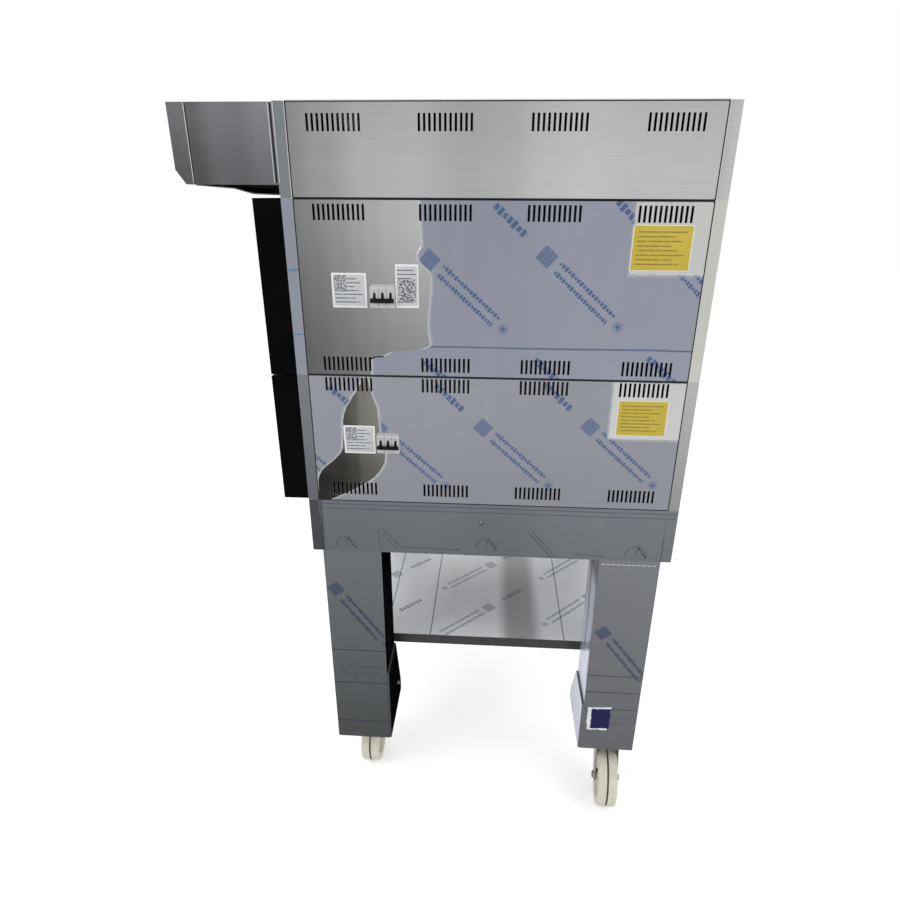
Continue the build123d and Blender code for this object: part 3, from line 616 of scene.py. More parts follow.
class Handling(Effect):
    """Smears from hands and cloths: broad turned noise that changes the gloss."""

    name = "handling_smears"
    takes = (("Place", None),)
    gives = (("Smear", VALUE),)

    def draw(self, graph: Graph, given: Dict[str, Term]) -> Dict[str, Term]:
        """Two noises at a slant, the finer one only inside the broader."""
        broad = graph.noise(graph.scaled(given["Place"], (3.0, 2.2, 4.0), (0.4, 0.3, 0.6)), 1.0, 3.0)
        fine = graph.noise(graph.scaled(given["Place"], (40.0, 14.0, 26.0), (0.8, 0.2, 0.5)), 1.0, 3.0)
        smear = graph.spread(broad, 0.38, 0.68)
        return {"Smear": smear.math("MULTIPLY", graph.spread(fine, 0.35, 0.7), clamp=True)}


class FilmPrint(Effect):
    """The plain print on the protective film: a row of blocks, a square, two rows of dashes and a star.

    Across and Up are metres from the middle of one square. They are turned to run along the slant. The marks
    repeat along each row, and each row is shifted against the one below it.
    """

    name = "film_print"
    takes = (("Across", 0.0), ("Up", 0.0), ("Slant", -0.75))
    gives = (("Ink", VALUE),)
    repeat = 0.46
    row_pitch = 0.170
    row_shift = 0.176
    lead = 0.165
    soft = 0.0006

    def draw(self, graph: Graph, given: Dict[str, Term]) -> Dict[str, Term]:
        """Each mark is a product of windows in its row's own coordinates, u along the row and v across it."""
        across, up = given["Across"], given["Up"]
        cosine, sine = given["Slant"].math("COSINE"), given["Slant"].math("SINE")
        along, aside = across * cosine + up * sine, up * cosine - across * sine
        level = (aside + self.row_pitch / 2) / self.row_pitch
        v = (level.math("FRACT") - 0.5) * self.row_pitch
        shift = level.math("FLOOR") * self.row_shift - self.lead
        u = ((along - shift) / self.repeat).math("FRACT") * self.repeat - self.lead
        marks = (
            self.dashes(graph, u, v, -0.150, 0.0, 0.090, 0.0090, 0.0125),
            self.square(graph, u, v, 0.0170),
            self.dashes(graph, u, v, 0.030, 0.0105, 0.165, 0.0056, 0.0088),
            self.dashes(graph, u, v, 0.034, -0.0105, 0.155, 0.0056, 0.0080),
            self.star(graph, u, v, 0.2135, 0.0135),
        )
        ink = marks[0]
        for mark in marks[1:]:
            ink = ink.math("MAXIMUM", mark)
        worn = graph.spread(graph.noise(across, 900.0, 1.0), 0.2, 0.5, 0.8, 1.0)
        return {"Ink": ink.math("MULTIPLY", worn, clamp=True)}

    def square(self, graph: Graph, u: Term, v: Term, half: float) -> Term:
        """A filled square with a lighter lattice of lines in it."""
        lines = (u + v * 2.0).math("PINGPONG", half / 4)
        return (graph.window(u, -half, half, self.soft) * graph.window(v, -half, half, self.soft)
                * graph.spread(lines, half / 12, half / 6, 0.45, 1.0))

    def dashes(self, graph: Graph, u: Term, v: Term, start: float, at_v: float, length: float,
               half_high: float, pitch: float) -> Term:
        """A row of short upright dashes of uneven length, which stands for no letters."""
        uneven = ((u / pitch).math("FLOOR") * 0.618).math("FRACT") * (half_high * 0.5)
        level = (v - at_v).math("ABSOLUTE") + uneven
        high = graph.spread(level, half_high - self.soft, half_high + self.soft, 1.0, 0.0)
        gap = graph.spread(u.math("PINGPONG", pitch / 2), pitch * 0.10, pitch * 0.15)
        return graph.window(u, start, start + length, self.soft) * high * gap

    @staticmethod
    def star(graph: Graph, u: Term, v: Term, at_u: float, radius: float) -> Term:
        """Fourteen rays and a dot: a ray is where the reach times the angle to the nearest ray is small."""
        side = u - at_u
        reach = (side * side + v * v).math("SQRT")
        off = reach * v.math("ARCTAN2", side).math("PINGPONG", pi / 14)
        ray = graph.spread(off, 0.0004, 0.0009, 1.0, 0.0) * graph.spread(reach, radius - 0.002, radius, 1.0, 0.0)
        return ray.math("MAXIMUM", graph.spread(reach, 0.0034, 0.0042, 1.0, 0.0))

    @staticmethod
    def arrow(graph: Graph, u: Term, v: Term) -> Term:
        """An open arrow along u: a bar's outline and a head's outline, in steps of its line's width."""
        soft, line, bar_long, bar_half, head_half, head_long = 0.0005, 0.0013, 0.055, 0.0075, 0.0185, 0.031
        level = v.math("ABSOLUTE")
        bar = graph.window(u, 0.0, bar_long, soft) * graph.window(level, bar_half, bar_half + line, soft)
        slope = level + (u - bar_long) * 0.62
        head = (graph.window(slope, head_half, head_half + line, soft)
                * graph.window(u, bar_long, bar_long + head_long, soft))
        back = (graph.window(u, bar_long - line / 2, bar_long + line / 2, soft)
                * graph.window(level, bar_half, head_half, soft))
        return bar.math("MAXIMUM", head).math("MAXIMUM", back)


class Effects:
    """The shared effects, each drawn once."""

    def __init__(self) -> None:
        """Draw every group."""
        self.grain, self.wear_and_highlight, self.dust = BrushedGrain(), RubbedEdgesAndHighlight(), Dust()
        self.smears, self.print = Handling(), FilmPrint()


# Finishes

class Grain(Enum):
    """How the brushed strokes run: the scale of the noise along X, Y and Z."""

    ALONG_WIDTH = (5.0, 420.0, 420.0)
    ALONG_HEIGHT = (420.0, 420.0, 5.0)
    LEVEL = (7.0, 7.0, 520.0)


# Two heights and the level at each: painted light and shade that changes with height.
LightByHeightRamp = Tuple[float, float, float, float]
# Levels or colours along depth; they paint reflections and shade as well as real changes of tone.
ToneAndLightBands = Sequence[Tuple[float, Union[float, Colour]]]
LEVEL_LIGHT: LightByHeightRamp = (0.0, 2.0, 1.0, 1.0)
DUST_TONE = (0.36, 0.34, 0.31)


def dimmed(tone: Colour, level: float) -> Colour:
    """A tone with its parts multiplied by a level."""
    return tuple(level * part for part in tone)


def banded(graph: Graph, value: Term, tone_and_light_bands: ToneAndLightBands, tone: Colour) -> Feed:
    """A tone that changes along a value, eased between its given places, which paint reflections and shade as well as
    real changes of tone.

    Args:
        graph: The material's tree.
        value: What the bands' places are measured on.
        tone_and_light_bands: A place with a level that the tone is multiplied by, or with a colour of its own.
        tone: The plain tone, which is given back where there are no bands.

    Returns:
        The colour.
    """
    if not tone_and_light_bands:
        return tone
    low, high = tone_and_light_bands[0][0], tone_and_light_bands[-1][0]
    return graph.ramp(graph.spread(value, low, high),
                      [((at - low) / (high - low), level if isinstance(level, tuple) else dimmed(tone, level))
                       for at, level in tone_and_light_bands])


@dataclass(frozen=True)
class Finish:
    """A finish of the object, which is a material of the same name."""

    name: str

    def material(self, effects: Effects) -> bpy.types.Material:
        """Make the material, with the look on its Principled shader."""
        material = bpy.data.materials.new(self.name)
        material.use_nodes = True
        graph = Graph(material.node_tree)
        shader = material.node_tree.nodes["Principled BSDF"]
        for name, value in self.look(graph, effects).items():
            graph.feed(shader.inputs[name], value)
        return material

    def look(self, graph: Graph, effects: Effects) -> Look:
        """Draw the finish.

        Args:
            graph: The material's tree.
            effects: The shared effects.

        Returns:
            A value for each socket of the shader that the finish sets.
        """
        raise NotImplementedError


@dataclass(frozen=True)
class BrushedSteel(Finish):
    """Bare brushed stainless steel.

    Its banding goes by depth and paints reflections and shade as well as changes of tone. Its light by height is two
    heights and the level at each, a painted light and shade that changes with height. Both hold on the faces that look
    sideways.
    """

    tone: Colour = (0.40, 0.40, 0.41)
    grain: Grain = Grain.LEVEL
    roughness: float = 0.36
    tone_and_light_bands: ToneAndLightBands = ()
    light_by_height: LightByHeightRamp = LEVEL_LIGHT
    drift: float = 0.05
    wear_and_highlight: float = 0.5
    dust: float = 0.15

    def look(self, graph: Graph, effects: Effects) -> Look:
        """Strokes, painted banding and smears on steel, with worn edges that also carry a painted highlight, and dust.
        """
        place = graph.place()
        strokes = graph.effect(effects.grain, Strokes=graph.scaled(place, self.grain.value), Depth=1.0)
        smear = graph.effect(effects.smears, Place=place)["Smear"]
        wear_and_highlight = graph.effect(effects.wear_and_highlight, Place=place, Amount=self.wear_and_highlight)
        dust = graph.effect(effects.dust, Place=place, Amount=self.dust)["Mask"]
        _, depth, height = graph.axes(place)
        wander = (graph.noise(graph.scaled(place, (2.0, 2.0, 1.2)), 1.0, 2.0) - 0.5) * self.drift
        side = graph.turned_to(0)
        # Painted reflections and shade on the side faces: banding along depth, and a level that changes with height.
        toned = graph.blend(side, self.tone, banded(graph, depth + wander, self.tone_and_light_bands, self.tone))
        level = (graph.spread(strokes["Tone"], -1.0, 1.0, 0.95, 1.05)
                 * graph.mixed(side, 1.0, graph.spread(height, *self.light_by_height)))
        smeared = graph.blend(smear * 0.10, graph.shaded(toned, level), (0.30, 0.295, 0.28))
        # Paler edges: partly rubbing, partly a painted highlight.
        worn = graph.blend(wear_and_highlight["Mask"] * 0.75, smeared, (0.78, 0.78, 0.79))
        return {
            "Base Color": graph.blend(dust, worn, (0.42, 0.40, 0.37)),
            "Roughness": strokes["Tone"] * 0.05 + smear * 0.09 + self.roughness + dust * 0.3,
            "Normal": graph.bump(strokes["Height"], 0.00006, 0.55, wear_and_highlight["Normal"]),
            "Metallic": 1.0,
        }


@dataclass(frozen=True)
class Film(Finish):
    """Pale blue protective film on steel, with its plain print, its fold lines and its faint creases.

    The print's square and arrow, and the lines, are placed by depth and height on an upright sheet, by width and
    height on its faces that look to the front or rear, and by width and depth on a level one, whose edges carry on
    down from its top. Printed is the range of the second of these that has print. Turned is a direction, and a
    tone for the faces that look that way, which paints light on a lit face and shade on a dark one; painted shade
    also darkens those faces above 0.72 m of height and towards the bottom, in vertical streaks. They have no gloss
    if they are dull.
    """

    tone: Colour = (0.276, 0.292, 0.345)
    grain: Grain = Grain.LEVEL
    metallic: float = 0.72
    ink: Colour = (0.022, 0.070, 0.185)
    print_strength: float = 0.8
    square_at: Flat = (0.0, 0.0)
    slant: float = -0.733
    arrow_at: Optional[Flat] = None
    arrow_size: float = 1.35
    printed: Flat = (-9.0, 9.0)
    top: Optional[float] = None
    lines: Sequence[float] = ()
    line_tone: Colour = (0.04, 0.07, 0.14)
    line_half: float = 0.0012
    tone_and_light_bands: ToneAndLightBands = ()
    light_by_height: LightByHeightRamp = LEVEL_LIGHT
    streak: float = 0.04
    turned: Sequence[Tuple[Point, Colour]] = ()
    turned_dull: bool = False
    coat: float = 0.12
    gloss: float = 0.4

    def look(self, graph: Graph, effects: Effects) -> Look:
        """Film with its print, then creases, lines, faces with a painted tone of their own, and worn edges that also
        carry a painted highlight.
        """
        place = graph.place()
        wide, depth, height = graph.axes(place)
        if self.top is None:
            across, up = graph.mixed(graph.turned_to(1), depth, wide), height
        else:
            across, up = wide, depth + (height - self.top)
        strokes = graph.effect(effects.grain, Strokes=graph.scaled(place, self.grain.value), Depth=1.0)["Tone"]
        broad = graph.noise(graph.scaled(place, (1.4, 2.2, 1.6)), 1.0, 2.0)
        pulled = graph.noise(graph.scaled(place, (9.0, 22.0, 3.0), (0.25, 0.0, 0.1)), 1.0, 4.0, 0.6)
        # Painted light and shade: the level changes with height.
        level = ((graph.spread(broad, 0.3, 0.7, 1.0 - self.streak, 1.0 + self.streak) + strokes * 0.03)
                 * graph.spread(height, *self.light_by_height) * graph.spread(pulled, 0.35, 0.75, 0.985, 1.025))
        # Banding along depth: painted reflections and shade as well as changes of tone.
        base = graph.shaded(banded(graph, depth, self.tone_and_light_bands, self.tone), level)
        colour = graph.blend(self.ink_mask(graph, effects, across, up), base, self.ink)
        wrinkle = graph.noise(graph.scaled(place, (5.0, 9.0, 7.0), (0.4, 0.2, 0.0)), 1.0, 5.0, 0.62)
        ridge = graph.spread((wrinkle * 3.0).math("PINGPONG", 0.5), 0.0, 0.035, 1.0, 0.0)
        colour = graph.blend(ridge * 0.04, colour, (0.62, 0.66, 0.74))
        relief = ridge * 0.15 + pulled * 0.5
        wavy = (graph.noise(place, 6.0) - 0.5) * 0.004
        for line in self.lines:
            off = (up + wavy - line).math("ABSOLUTE")
            dark = graph.spread(off, self.line_half * 0.5, self.line_half * 1.5, 1.0, 0.0, smooth=True)
            colour = graph.blend(dark * 0.9, colour, self.line_tone)
            relief = relief + dark
        shine = self.gloss
        # Painted light and shade: faces that look a given way take their own tone, darkened above 0.72 m and towards
        # the bottom in vertical streaks.
        for way, tone in self.turned:
            hung = graph.noise(graph.scaled(place, (30.0, 30.0, 1.8)), 1.0, 2.0)
            shade = (graph.spread(hung, 0.40, 0.50, 0.45, 1.0, smooth=True)
                     * graph.spread(height, 0.72, 0.79, 1.0, 0.15, smooth=True)
                     * graph.spread(height, 0.24, 0.60, 0.6, 1.0))
            colour = graph.blend(graph.facing(way), colour, graph.shaded(tone, shade))
            if self.turned_dull:
                shine = graph.mixed(graph.facing(way), shine, 0.0)
        # The edge mask pales the edges: partly rubbing, partly a painted highlight.
        wear_and_highlight = graph.effect(effects.wear_and_highlight, Place=place, Amount=0.6)
        return {
            "Base Color": graph.blend(wear_and_highlight["Mask"] * 0.45, colour, (0.6, 0.64, 0.72)),
            "Roughness": graph.spread(pulled, 0.3, 0.8, 0.28, 0.42),
            "Normal": graph.bump(relief, 0.0005, 0.5, wear_and_highlight["Normal"]),
            "Metallic": self.metallic,
            "Specular IOR Level": shine,
            "Coat Weight": self.coat,
            "Coat Roughness": 0.22,
        }

    def ink_mask(self, graph: Graph, effects: Effects, across: Term, up: Term) -> Term:
        """Where the film is printed, and how strongly, by the sheet's two coordinates."""
        ink = graph.effect(effects.print, Across=across - self.square_at[0], Up=up - self.square_at[1],
                           Slant=self.slant)["Ink"]
        ink = ink * graph.window(up, *self.printed, 0.001)
        if self.arrow_at is not None:
            tail, level = self.arrow_at
            ink = ink.math("MAXIMUM", FilmPrint.arrow(graph, (tail - across) / self.arrow_size,
                                                      (up - level) / self.arrow_size))
        return ink * self.print_strength


@dataclass(frozen=True)
class PeeledFilm(Finish):
    """A panel under film with a bare patch between two torn edges, and a square window of bare steel.

    Each torn edge is a curve of depth against height, as pairs of height and depth.
    """

    film: Film
    bare: BrushedSteel
    torn_left: Sequence[Flat]
    torn_right: Sequence[Flat]
    window: Tuple[float, float, float, float]
    window_tone: Colour = (0.50, 0.50, 0.49)
    level_low: float = 0.97
    level_high: float = 1.68
    depth_low: float = -0.45
    depth_high: float = 0.55

    def look(self, graph: Graph, effects: Effects) -> Look:
        """Both layers and the mask between them, with the film raised near its torn edge under a paler painted
        highlight, and a thin painted highlight line along that edge.
        """
        film, bare = self.film.look(graph, effects), self.bare.look(graph, effects)
        place = graph.place()
        _, depth, height = graph.axes(place)
        ragged = (graph.noise(place, 42.0, 3.0, 0.6) - 0.5) * 0.006
        level = graph.spread(height, self.level_low, self.level_high)
        torn = depth + ragged
        past_left = torn - self.edge(graph, level, self.torn_left)
        inside = past_left.math("MINIMUM", self.edge(graph, level, self.torn_right) - torn)
        window = self.window_depth(torn, height + ragged)
        opening = graph.spread(window, -0.0005, 0.0005)
        bare_mask = graph.spread(inside, -0.0005, 0.0005).math("MAXIMUM", opening)
        uncovered = graph.blend(opening, bare["Base Color"], self.window_tone)
        colour = graph.blend(bare_mask, film["Base Color"], uncovered)
        nearest = inside.math("MAXIMUM", window)
        # Painted highlight: the film is paler over the last few millimetres before its torn edge; the same band raises
        # the film in the bump.
        lifted_with_highlight = graph.spread(nearest, -0.0085, -0.0008, 0.0, 1.0, smooth=True) * (1.0 - bare_mask)
        colour = graph.blend(lifted_with_highlight * 0.45, colour, (0.47, 0.48, 0.50))
        # Painted highlight: a thin pale line along the torn edge.
        lip_highlight = graph.spread(nearest.math("ABSOLUTE"), 0.0006, 0.0018, 1.0, 0.0)
        joined = graph.term("ShaderNodeMix", {0: bare_mask, 4: film["Normal"], 5: bare["Normal"]}, 1,
                            data_type="VECTOR")
        return {
            **film,
            "Base Color": graph.blend(lip_highlight * 0.4, colour, (0.60, 0.61, 0.62)),
            "Roughness": graph.mixed(bare_mask, film["Roughness"], bare["Roughness"]),
            "Normal": graph.bump(lifted_with_highlight, 0.0012, 0.6, joined),
            "Metallic": graph.spread(bare_mask, 0.0, 1.0, self.film.metallic, 1.0),
            "Coat Weight": graph.spread(bare_mask, 0.0, 1.0, self.film.coat, 0.0),
        }

    def edge(self, graph: Graph, level: Term, torn: Sequence[Flat]) -> Term:
        """The depth of a torn edge at each height."""
        points = [((height - self.level_low) / (self.level_high - self.level_low),
                   (depth - self.depth_low) / (self.depth_high - self.depth_low)) for height, depth in torn]
        return graph.spread(graph.bend(level, points), 0.0, 1.0, self.depth_low, self.depth_high)

    def window_depth(self, depth: Term, height: Term) -> Term:
        """How far inside the bare window a point is, below zero outside it."""
        near, far, low, high = self.window
        sides = (depth - near).math("MINIMUM", far - depth)
        return sides.math("MINIMUM", (height - low).math("MINIMUM", high - height))


@dataclass(frozen=True)
class Coated(Finish):
    """A painted, moulded or cast surface of one tone: mottling, fine texture, worn edges that also carry a painted
    highlight, and dust.
    """

    tone: Colour
    rubbed_and_highlight: Colour
    roughness: float = 0.45
    metallic: float = 0.0
    gloss: float = 0.5
    mottle: float = 0.12
    mottle_scale: float = 9.0
    texture_scale: float = 900.0
    texture_depth: float = 0.00003
    wear_and_highlight: float = 0.6
    dust: float = 0.25
    coat: float = 0.0

    def look(self, graph: Graph, effects: Effects) -> Look:
        """A mottled tone under worn edges with a painted highlight, and dust, with smears in its gloss."""
        place = graph.place()
        cloud = graph.noise(place, self.mottle_scale, 4.0, 0.6)
        colour = graph.shaded(self.tone, graph.spread(cloud, 0.3, 0.7, 1.0 - self.mottle, 1.0 + self.mottle))
        fine = graph.noise(place, self.texture_scale, 3.0, 0.6)
        # The edge mask pales the edges: partly rubbing, partly a painted highlight.
        wear_and_highlight = graph.effect(effects.wear_and_highlight, Place=place, Amount=self.wear_and_highlight)
        dust = graph.effect(effects.dust, Place=place, Amount=self.dust)["Mask"]
        smear = graph.effect(effects.smears, Place=place)["Smear"]
        return {
            "Base Color": graph.blend(dust, graph.blend(wear_and_highlight["Mask"], colour, self.rubbed_and_highlight), DUST_TONE),
            "Roughness": (fine - 0.5) * 0.12 + self.roughness + smear * 0.1,
            "Normal": graph.bump(fine, self.texture_depth, 0.8, wear_and_highlight["Normal"]),
            "Metallic": self.metallic,
            "Specular IOR Level": self.gloss,
            "Coat Weight": self.coat,
            "Coat Roughness": 0.15,
        }


@dataclass(frozen=True)
class SpangledZinc(Finish):
    """Zinc plated steel: small crystals of slightly different grey, with dull patches."""

    tone: Colour = (0.30, 0.30, 0.29)
    roughness: float = 0.4

    def look(self, graph: Graph, effects: Effects) -> Look:
        """Crystals from a cell pattern, then worn edges with a painted highlight, stains and dust."""
        place = graph.place()
        _, _, crystal = graph.axes(graph.term("ShaderNodeTexVoronoi", {"Vector": place, "Scale": 260.0}, "Color"))
        cloud = graph.noise(place, 18.0, 4.0, 0.6)
        level = graph.spread(crystal, 0.0, 1.0, 0.86, 1.14) * graph.spread(cloud, 0.3, 0.7, 0.82, 1.12)
        wear_and_highlight = graph.effect(effects.wear_and_highlight, Place=place, Amount=0.7)
        # Paler edges: partly rubbing, partly a painted highlight.
        worn = graph.blend(wear_and_highlight["Mask"] * 0.6, graph.shaded(self.tone, level), (0.66, 0.66, 0.65))
        dull = graph.spread(graph.noise(place, 35.0, 4.0, 0.7), 0.52, 0.7)
        stained = graph.blend(dull * 0.35, worn, (0.20, 0.17, 0.13))
        dust = graph.effect(effects.dust, Place=place, Amount=0.25)["Mask"]
        return {
            "Base Color": graph.blend(dust, stained, DUST_TONE),
            "Roughness": graph.spread(crystal, 0.0, 1.0, self.roughness - 0.08, self.roughness + 0.1),
            "Normal": graph.bump(cloud, 0.0001, 0.4, wear_and_highlight["Normal"]),
            "Metallic": 1.0,
        }


@dataclass(frozen=True)
class CastNylon(Finish):
    """Cream nylon: slightly waxy, scuffed on the tread and darker where the piece's darkening attribute says so."""

    tone: Colour = (0.61, 0.595, 0.50)
    groove: Colour = (0.10, 0.10, 0.055)

    def look(self, graph: Graph, effects: Effects) -> Look:
        """A cloudy tone with scuffs, darker in the grooves."""
        place = graph.place()
        cloud = graph.noise(place, 26.0, 4.0, 0.6)
        colour = graph.blend(graph.spread(cloud, 0.35, 0.7), self.tone, dimmed(self.tone, 0.86))
        scuffs = graph.spread(graph.noise(graph.scaled(place, (60.0, 60.0, 160.0)), 1.0, 4.0, 0.7), 0.56, 0.74)
        scuffed = graph.blend(scuffs * 0.35, colour, (0.30, 0.28, 0.21))
        grime = graph.term("ShaderNodeAttribute", gives="Fac", attribute_name="grime", attribute_type="GEOMETRY")
        wear_and_highlight = graph.effect(effects.wear_and_highlight, Place=place, Amount=0.25)
        return {
            "Base Color": graph.blend(grime * 0.9, scuffed, self.groove),
            "Roughness": graph.spread(cloud, 0.3, 0.7, 0.34, 0.52),
            "Normal": graph.bump(scuffs, 0.0002, 0.35, wear_and_highlight["Normal"]),
            "Subsurface Weight": 0.08,
            "Subsurface Scale": 0.004,
        }


@dataclass(frozen=True)
class Paper(Finish):
    """A sticker with a plain margin and rows of broken rules, which read from the piece's sheet attribute.

    The attribute gives each point's share of the sticker's width and height. Box is the part of a chequered
    rectangle, as low and high shares across and up, and cells are how many of its cells the sticker would hold.
    """

    tone: Colour
    rule: Colour
    rows: float = 9.0
    rule_strength: float = 0.7
    margin: float = 0.05
    margin_tone: Colour = (0.66, 0.67, 0.66)
    box: Tuple[float, float, float, float] = (0.0, 0.0, 0.0, 0.0)
    cells: Flat = (44.0, 44.0)

    def look(self, graph: Graph, effects: Effects) -> Look:
        """Rules end at uneven places and are broken by noise. Cells are filled at random."""
        place = graph.place()
        sheet = graph.term("ShaderNodeAttribute", gives="Vector", attribute_name="sheet", attribute_type="GEOMETRY")
        across, up, _ = graph.axes(sheet)

        def within(near: float, far: float, low: float, high: float, soft: float) -> Term:
            """A mask of a rectangle of the sheet."""
            return graph.window(across, near, far, soft) * graph.window(up, low, high, soft)

        cloud = graph.noise(place, 30.0, 4.0, 0.6)
        field = graph.blend(graph.spread(cloud, 0.35, 0.7), self.tone, dimmed(self.tone, 0.9))
        lines = up * self.rows
        row = lines.math("FLOOR")
        ends = (row * 0.618).math("FRACT") * 0.30 + 0.62
        broken = graph.spread(graph.noise(across * 34.0 + row * 7.3, 1.0, 1.0), 0.36, 0.42)
        rules = (graph.window(lines.math("FRACT"), 0.34, 0.64, 0.05) * broken
                 * graph.spread(across - ends, -0.01, 0.01, 1.0, 0.0) * graph.spread(across, 0.07, 0.09)
                 * graph.window(up, 0.10, 0.90, 0.01))
        boxed = within(*self.box, 0.005)
        snapped = graph.term("ShaderNodeVectorMath", {0: graph.scaled(sheet, (*self.cells, 1.0))}, operation="FLOOR")
        filled = graph.term("ShaderNodeTexWhiteNoise", {"Vector": snapped}, "Value",
                            noise_dimensions="2D").math("GREATER_THAN", 0.42)
        marked = (rules * (1.0 - boxed)).math("MAXIMUM", boxed * filled)
        inked = graph.blend(marked * self.rule_strength, field, self.rule)
        inner = within(self.margin, 1.0 - self.margin, self.margin, 1.0 - self.margin, 0.008)
        crinkle = graph.noise(graph.scaled(place, (40.0, 60.0, 35.0)), 1.0, 4.0)
        return {
            "Base Color": graph.blend(inner, self.margin_tone, inked),
            "Roughness": graph.spread(cloud, 0.3, 0.7, 0.38, 0.55),
            "Normal": graph.bump(crinkle, 0.0003, 0.35),
        }


@dataclass(frozen=True)
class Stone(Finish):
    """Pale fired baking stone: grains, pores and a browned middle."""

    tone: Colour = (0.52, 0.43, 0.32)

    def look(self, graph: Graph, effects: Effects) -> Look:
        """Browned clouds under pale grains and dark pores."""
        place = graph.place()
        grain = graph.noise(place, 320.0, 3.0, 0.7)
        browned = graph.spread(graph.noise(place, 7.0, 5.0, 0.6), 0.35, 0.7)
        colour = graph.blend(browned, self.tone, (0.40, 0.31, 0.21))
        grained = graph.blend(graph.spread(grain, 0.52, 0.72, 0.0, 0.4), colour, (0.70, 0.63, 0.52))
        pores = graph.spread(graph.noise(place, 180.0, 2.0), 0.30, 0.36, 1.0, 0.0)
        wear_and_highlight = graph.effect(effects.wear_and_highlight, Place=place, Amount=0.0)
        return {
            "Base Color": graph.blend(pores * 0.7, grained, (0.16, 0.12, 0.08)),
            "Roughness": 0.88,
            "Normal": graph.bump(grain - pores, 0.0004, 0.7, wear_and_highlight["Normal"]),
        }


@dataclass(frozen=True)
class Wool(Finish):
    """Mineral wool: matted fibres in a yellow brown felt."""

    tone: Colour = (0.46, 0.38, 0.20)

    def look(self, graph: Graph, effects: Effects) -> Look:
        """Fibres from turned noise, and darker tufts."""
        place = graph.place()
        fibres = graph.noise(graph.scaled(place, (60.0, 260.0, 90.0), (0.3, 0.5, 0.9)), 1.0, 5.0, 0.7)
        tufts = graph.noise(place, 22.0, 4.0, 0.6)
        colour = graph.blend(graph.spread(fibres, 0.35, 0.7), self.tone, (0.62, 0.55, 0.34))
        return {
            "Base Color": graph.blend(graph.spread(tufts, 0.4, 0.8, 0.0, 0.5), colour, (0.28, 0.22, 0.11)),
            "Roughness": 0.95,
            "Normal": graph.bump(fibres + tufts, 0.002, 0.8),
        }


@dataclass(frozen=True)
class Glass(Finish):
    """Clear glass with fine wipe marks, which only change its gloss."""

    tone: Colour = (0.82, 0.86, 0.85)
    roughness: float = 0.03

    def look(self, graph: Graph, effects: Effects) -> Look:
        """A faintly cloudy tone that lets light through."""
        place = graph.place()
        smear = graph.effect(effects.smears, Place=place)["Smear"]
        cloudy = graph.spread(graph.noise(place, 12.0, 3.0), 0.4, 0.7)
        return {
            "Base Color": graph.blend(cloudy, self.tone, dimmed(self.tone, 0.95)),
            "Roughness": smear * 0.12 + self.roughness,
            "Metallic": 0.0,
            "Transmission Weight": 1.0,
            "IOR": 1.5,
        }


# Studio

def seen(graph: Graph) -> Term:
    """A mask of the rays that see things: those of the camera, of gloss and of glass."""
    sight = graph.add("ShaderNodeLightPath")
    camera, gloss, glass = (Term(graph, sight.outputs[f"Is {kind} Ray"])
                            for kind in ("Camera", "Glossy", "Transmission"))
    return camera.math("MAXIMUM", gloss.math("MAXIMUM", glass))


@dataclass(frozen=True)
class PaleFloor(Finish):
    """The floor's finish, which glows a little to those who see it, so that it ends in the white."""

    tone: Colour = (0.93, 0.93, 0.93)
    glow: float = 0.27

    def look(self, graph: Graph, effects: Effects) -> Look:
        """A plain matt tone with a trace of cloud."""
        cloud = graph.noise(graph.place(), 0.8, 3.0)
        return {
            "Base Color": graph.blend(cloud, self.tone, dimmed(self.tone, 0.985)),
            "Roughness": 0.9,
            "Specular IOR Level": 0.0,
            "Emission Color": (1.0, 1.0, 1.0),
            "Emission Strength": seen(graph) * self.glow,
        }


